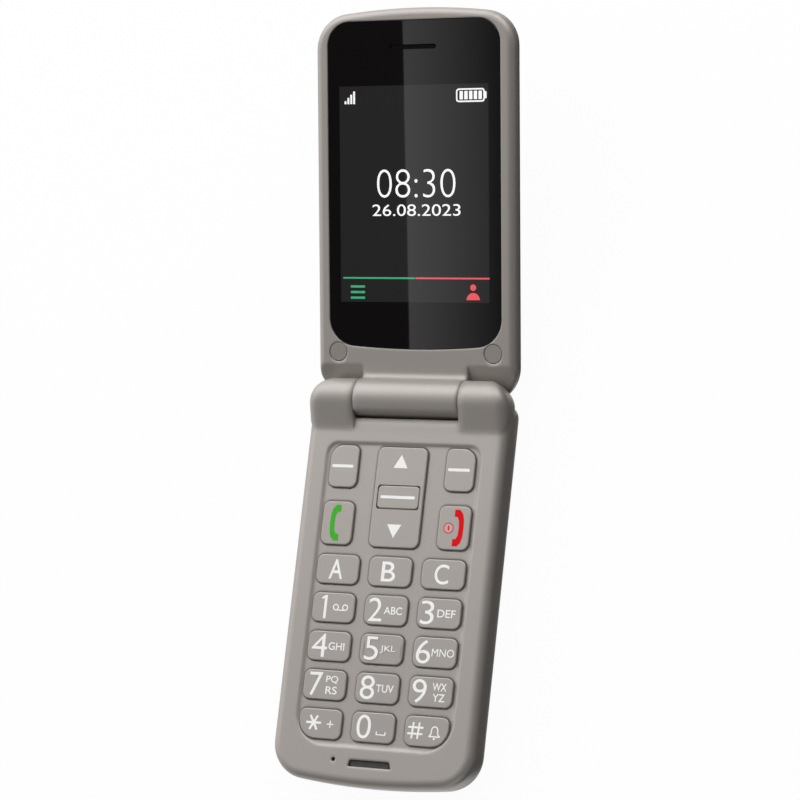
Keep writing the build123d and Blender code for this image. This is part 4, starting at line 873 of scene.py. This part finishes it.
def rods(tree, given, along, across, level):
    """One row of parallel rods. Along is the rods' own axis and its size, across the other."""
    count = add(tree, "ShaderNodeMath", {"operation": "DIVIDE"},
                {0: given[across[1]], 1: given["Pitch"]})
    whole = add(tree, "ShaderNodeMath", {"operation": "FLOOR"}, {0: count.outputs[0]})
    start = add(tree, "ShaderNodeMath", {"operation": "MULTIPLY"},
                {0: given[across[1]], 1: -0.5})
    height = add(tree, "ShaderNodeMath", {"operation": "MULTIPLY"},
                 {0: given["Wire"], 1: level})
    first = add(tree, "ShaderNodeCombineXYZ", None,
                {across[0]: start.outputs[0], "Z": height.outputs[0]})
    step = add(tree, "ShaderNodeCombineXYZ", None, {across[0]: given["Pitch"]})
    line = add(tree, "GeometryNodeMeshLine", None, {
        "Count": whole.outputs[0], "Start Location": first.outputs[0],
        "Offset": step.outputs[0]})
    ends = [add(tree, "ShaderNodeMath", {"operation": "MULTIPLY"},
                {0: given[along[1]], 1: share}) for share in (-0.5, 0.5)]
    tips = [add(tree, "ShaderNodeCombineXYZ", None, {along[0]: end.outputs[0]}) for end in ends]
    wire = add(tree, "GeometryNodeCurvePrimitiveLine", None,
               {"Start": tips[0].outputs[0], "End": tips[1].outputs[0]})
    profile = add(tree, "GeometryNodeCurvePrimitiveCircle", None,
                  {"Resolution": 6, "Radius": given["Wire"]})
    rod = add(tree, "GeometryNodeCurveToMesh", None, {
        "Curve": wire.outputs[0], "Profile Curve": profile.outputs[0], "Fill Caps": True})
    return add(tree, "GeometryNodeInstanceOnPoints", None,
               {"Points": line.outputs[0], "Instance": rod.outputs[0]}).outputs[0]


both = gauze_tree.nodes.new("GeometryNodeJoinGeometry")
for row in (
    rods(gauze_tree, given, ("X", "Width"), ("Y", "Height"), 0.5),
    rods(gauze_tree, given, ("Y", "Height"), ("X", "Width"), -0.5),
):
    gauze_tree.links.new(row, both.inputs[0])
finish_tree(gauze_tree, both.outputs[0], given["Material"], out)

# %% Lay the gauze
THREAD_PITCH = 0.3          # mm
THREAD_R = 0.06
SOUND_SIZE = (11.0, 1.6)
SOUND_RISE = 0.1            # gauze above the mesh that holds it
EAR_SIZE = (13.0, 1.0)
EAR_RISE = 0.15


def lay_gauze(name, plane, body, size, thread):
    """Grows a gauze of a size in millimetres and lays it on a plane."""
    mesh = grow(name, gauze_tree, {
        "Width": size[0] * MM, "Height": size[1] * MM, "Pitch": THREAD_PITCH * MM,
        "Wire": THREAD_R * MM, "Material": thread})
    mesh.transform(plane)
    piece = place(name, mesh)
    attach(piece, body)
    print(name, len(mesh.polygons), "faces")


low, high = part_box("sound_mesh")
over_mesh = level_plane((low.x + high.x) / 2, (low.y + high.y) / 2, high.z + SOUND_RISE * MM)
lay_gauze("sound_gauze", over_mesh, "base", SOUND_SIZE, screen_wire)
low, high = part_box("earpiece_mesh")
ear = lid_plane().inverted() @ ((low + high) / 2)
over_ear = lid_plane(ear.z / MM + EAR_RISE) @ Matrix.Translation((ear.x, ear.y, 0))
lay_gauze("earpiece_gauze", over_ear, "lid", EAR_SIZE, ear_cloth)

# %% [markdown]
# ## Table
# The phone lies on a plain pale table. The camera and the gloss of the phone see it
# nearly white, while to all other light it is a mid grey, so it doesn't light the phone
# from below. It is one-sided, so the phone's back can be looked at from underneath.

# %% Table
TABLE_HALF = 3.0            # m
TABLE_DROP = 0.1            # table below the phone's back, mm
TABLE_GLOW = 0.96           # share of plain white where it is seen; the rest takes shadow

table_paint, tree, shader = new_material("pale_table", Roughness=0.9, Specular_IOR_Level=0.0)
rays = add(tree, "ShaderNodeLightPath").outputs
seen = add(tree, "ShaderNodeMath", {"operation": "MAXIMUM"},
           {0: rays["Is Camera Ray"], 1: rays["Is Glossy Ray"]})
seen = add(tree, "ShaderNodeMath", {"operation": "MAXIMUM"},
           {0: seen.outputs[0], 1: rays["Is Transmission Ray"]})
pale = add(tree, "ShaderNodeMix", {"data_type": "RGBA"},
           {0: seen.outputs[0], 6: colour("8C8C8C"), 7: colour("F4F4F4")})
tree.links.new(pale.outputs[2], shader.inputs["Base Color"])
white = add(tree, "ShaderNodeEmission", None, {"Color": (1, 1, 1, 1), "Strength": 1.0})
share = add(tree, "ShaderNodeMath", {"operation": "MULTIPLY"},
            {0: seen.outputs[0], 1: TABLE_GLOW})
lit_table = add(tree, "ShaderNodeMixShader", None,
                {0: share.outputs[0], 1: shader.outputs[0], 2: white.outputs[0]})
clear = add(tree, "ShaderNodeBsdfTransparent")
side = add(tree, "ShaderNodeNewGeometry").outputs["Backfacing"]
one_sided = add(tree, "ShaderNodeMixShader", None,
                {0: side, 1: lit_table.outputs[0], 2: clear.outputs[0]})
tree.links.new(one_sided.outputs[0], tree.nodes["Material Output"].inputs["Surface"])

mesh = bpy.data.meshes.new("table")
corners = [(-TABLE_HALF, -TABLE_HALF), (TABLE_HALF, -TABLE_HALF),
           (TABLE_HALF, TABLE_HALF), (-TABLE_HALF, TABLE_HALF)]
mesh.from_pydata([(x, y, -TABLE_DROP * MM) for x, y in corners], [], [(0, 1, 2, 3)])
mesh.materials.append(table_paint)
table = place("table", mesh)
print("the table is", 2 * TABLE_HALF, "m wide")

# %% [markdown]
# ## Painted shade beside the phone
# The gloss of the phone's right side mirrors the table just beside it, where a real
# table lies in the phone's shade, but this table is nearly white to glossy rays. A black
# card lies there as painted shade for that reflection, and only glossy rays see it, so
# it lights and shades nothing.

# %% Black card as painted shade on the table
CARD_WIDE = 0.25            # m
CARD_LONG = 0.5
CARD_GAP = 0.5              # from the phone's side, mm
CARD_RISE = 0.1             # above the phone's back, mm


def glossy_only(card):
    """Hides a card from all rays but glossy ones."""
    for kind in ("camera", "diffuse", "transmission", "shadow", "volume_scatter"):
        setattr(card, "visible_" + kind, False)


# painted shade: a dark card that stands in for the table's shade beside the phone, seen only in
# the right side's reflection
black, _, _ = new_material(
    "table_shade_card", Roughness=1.0, Specular_IOR_Level=0.0, Base_Color=colour("2E2E2E"))
mesh = bpy.data.meshes.new("side_shade_card")
edge = cad_box[1][0] + CARD_GAP * MM
corners = [(0, -CARD_LONG / 2), (CARD_WIDE, -CARD_LONG / 2), (CARD_WIDE, CARD_LONG / 2),
           (0, CARD_LONG / 2)]
mesh.from_pydata([(edge + x, y, CARD_RISE * MM) for x, y in corners], [], [(0, 1, 2, 3)])
mesh.materials.append(black)
side_shade_card = place("side_shade_card", mesh)
glossy_only(side_shade_card)
print("the card starts", round(edge, 4), "m right of the middle")

# %% [markdown]
# ## World and lamps
# The world is white where it is looked at. Where it only lights the phone it is a grey
# room with its window beyond the lid on the left, so the phone's right side lies in
# shade. Four soft lamps add to it. The key lamp stands up and left behind the lid, where
# the level keys mirror it and the tilted lid doesn't. A weak one on the left draws out
# the left rims. The back lamp, behind on the right, runs a highlight along the hinge
# barrel, and a low one in front opens the shade on the fronts of the knuckles.

# %% World
WINDOW_SIDE = Vector((-0.60, 0.75, 0.28))      # where the room is brightest
ROOM_FROM = -0.12           # cosine of the angle to it at which the light starts to grow
ROOM_TO = 0.88              # and at which it is full
ROOM_DARK = 0.1
ROOM_BRIGHT = 1.15

world = bpy.data.worlds.new("studio")
bpy.context.scene.world = world
world.use_nodes = True
tree = world.node_tree
tree.nodes.clear()
rays = add(tree, "ShaderNodeLightPath").outputs
seen = add(tree, "ShaderNodeMath", {"operation": "MAXIMUM"},
           {0: rays["Is Camera Ray"], 1: rays["Is Transmission Ray"]})
along = add(tree, "ShaderNodeVectorMath", {"operation": "DOT_PRODUCT"}, {
    0: add(tree, "ShaderNodeTexCoord").outputs["Generated"], 1: WINDOW_SIDE})
room = add(tree, "ShaderNodeMapRange", None, {
    "Value": along.outputs["Value"], "From Min": ROOM_FROM, "From Max": ROOM_TO,
    "To Min": ROOM_DARK, "To Max": ROOM_BRIGHT})
ambient = add(tree, "ShaderNodeBackground", None,
              {"Color": (1, 1, 1, 1), "Strength": room.outputs[0]})
bright = add(tree, "ShaderNodeBackground", None, {"Color": (1, 1, 1, 1), "Strength": 1.0})
mixed = add(tree, "ShaderNodeMixShader", None,
            {0: seen.outputs[0], 1: ambient.outputs[0], 2: bright.outputs[0]})
add(tree, "ShaderNodeOutputWorld", None, {"Surface": mixed.outputs[0]})
print("the room's light runs from", ROOM_DARK, "to", ROOM_BRIGHT)

# %% Lamps
PHONE_MIDDLE = Vector((0, 50, 10)) * MM
LAMP_AWAY = 0.9             # m
# for each lamp the direction it stands in, its width in metres and its watts
LAMPS = {
    "key_lamp": ((-0.5, 0.64, 0.58), 0.9, 3.4),
    "left_lamp": ((-0.9, 0.1, 0.4), 0.6, 0.6),
    "back_lamp": ((0.35, 0.75, 0.56), 0.6, 2.4),
    "front_lamp": ((0.3, -1.0, 0.1), 0.6, 1.2),
}
for name, (direction, size, watts) in LAMPS.items():
    data = bpy.data.lights.new(name, "AREA")
    data.size = size
    data.energy = watts
    towards = Vector(direction).normalized()
    place(name, data).matrix_world = Matrix.Translation(
        PHONE_MIDDLE + towards * LAMP_AWAY
    ) @ towards.to_track_quat("Z", "Y").to_matrix().to_4x4()
print(len(LAMPS), "lamps,", round(sum(watts for _, _, watts in LAMPS.values()), 1), "W in all")

# %% [markdown]
# ## A card for the window to mirror
# A glossy black window shows nothing but what it mirrors. In a studio a dark flag and a
# white card are hung where the window will mirror them, and here they meet along the
# display's middle. Where they have to hang is worked out: the camera is mirrored in the
# window, and lines from there through the window's corners reach the card. Only glossy
# rays see it, so it lights nothing.

# %% Flag and card
CARD_AWAY = 0.45            # m from the window
CARD_REACH = 40             # each is mirrored this far out from the middle, mm
SPLIT = ((-1.4, 6), (-3.0, 106))    # ends of the edge between them: x and along the lid
FADES_OVER = 0.62           # share of the white card over which it fades
FADED = 0.12                # what is left of its light there
to_lid = lid_plane().inverted()
from_lid = lid_plane()
eye = to_lid @ CAM_AT
eye.z = -eye.z


def on_card(x, s):
    """Where the card has to be for the window to mirror it at x, s in millimetres."""
    through = Vector((x, s, 0)) * MM
    ray = (through - eye).normalized()
    return from_lid @ (through + ray * CARD_AWAY)


rows = [[on_card(-CARD_REACH, s), on_card(x, s), on_card(CARD_REACH, s)] for x, s in SPLIT]
mesh = bpy.data.meshes.new("window_card")
mesh.from_pydata([p for row in rows for p in row], [], [(0, 1, 4, 3), (1, 2, 5, 4)])
shade = mesh.uv_layers.new(name="fade")
for face in mesh.polygons:
    for corner in face.loop_indices:
        column = mesh.loops[corner].vertex_index % 3
        shade.data[corner].uv = (1.0 if column == 2 else 0.0, 0.0)

flag, _, _ = new_material("black_flag", Roughness=1.0, Base_Color=(0, 0, 0, 1))
card, tree, _ = new_material("fading_card", Roughness=1.0)
fade = add(tree, "ShaderNodeUVMap", {"uv_map": "fade"})
across = add(tree, "ShaderNodeSeparateXYZ", None, {"Vector": fade.outputs[0]})
level = add(tree, "ShaderNodeMapRange", None, {
    "Value": across.outputs["X"], "From Min": 0.0, "From Max": FADES_OVER, "To Min": 1.0,
    "To Max": FADED})
glow = add(tree, "ShaderNodeEmission", None, {"Strength": level.outputs[0]})
tree.links.new(glow.outputs[0], tree.nodes["Material Output"].inputs["Surface"])
mesh.materials.append(flag)
mesh.materials.append(card)
mesh.polygons[1].material_index = 1
window_card = place("window_card", mesh)
glossy_only(window_card)
print("card hangs", CARD_AWAY, "m from the window")

# %% [markdown]
# ## Finish
# Colours are shown as they are written.

# %% Finish
bpy.context.scene.view_settings.view_transform = "Standard"
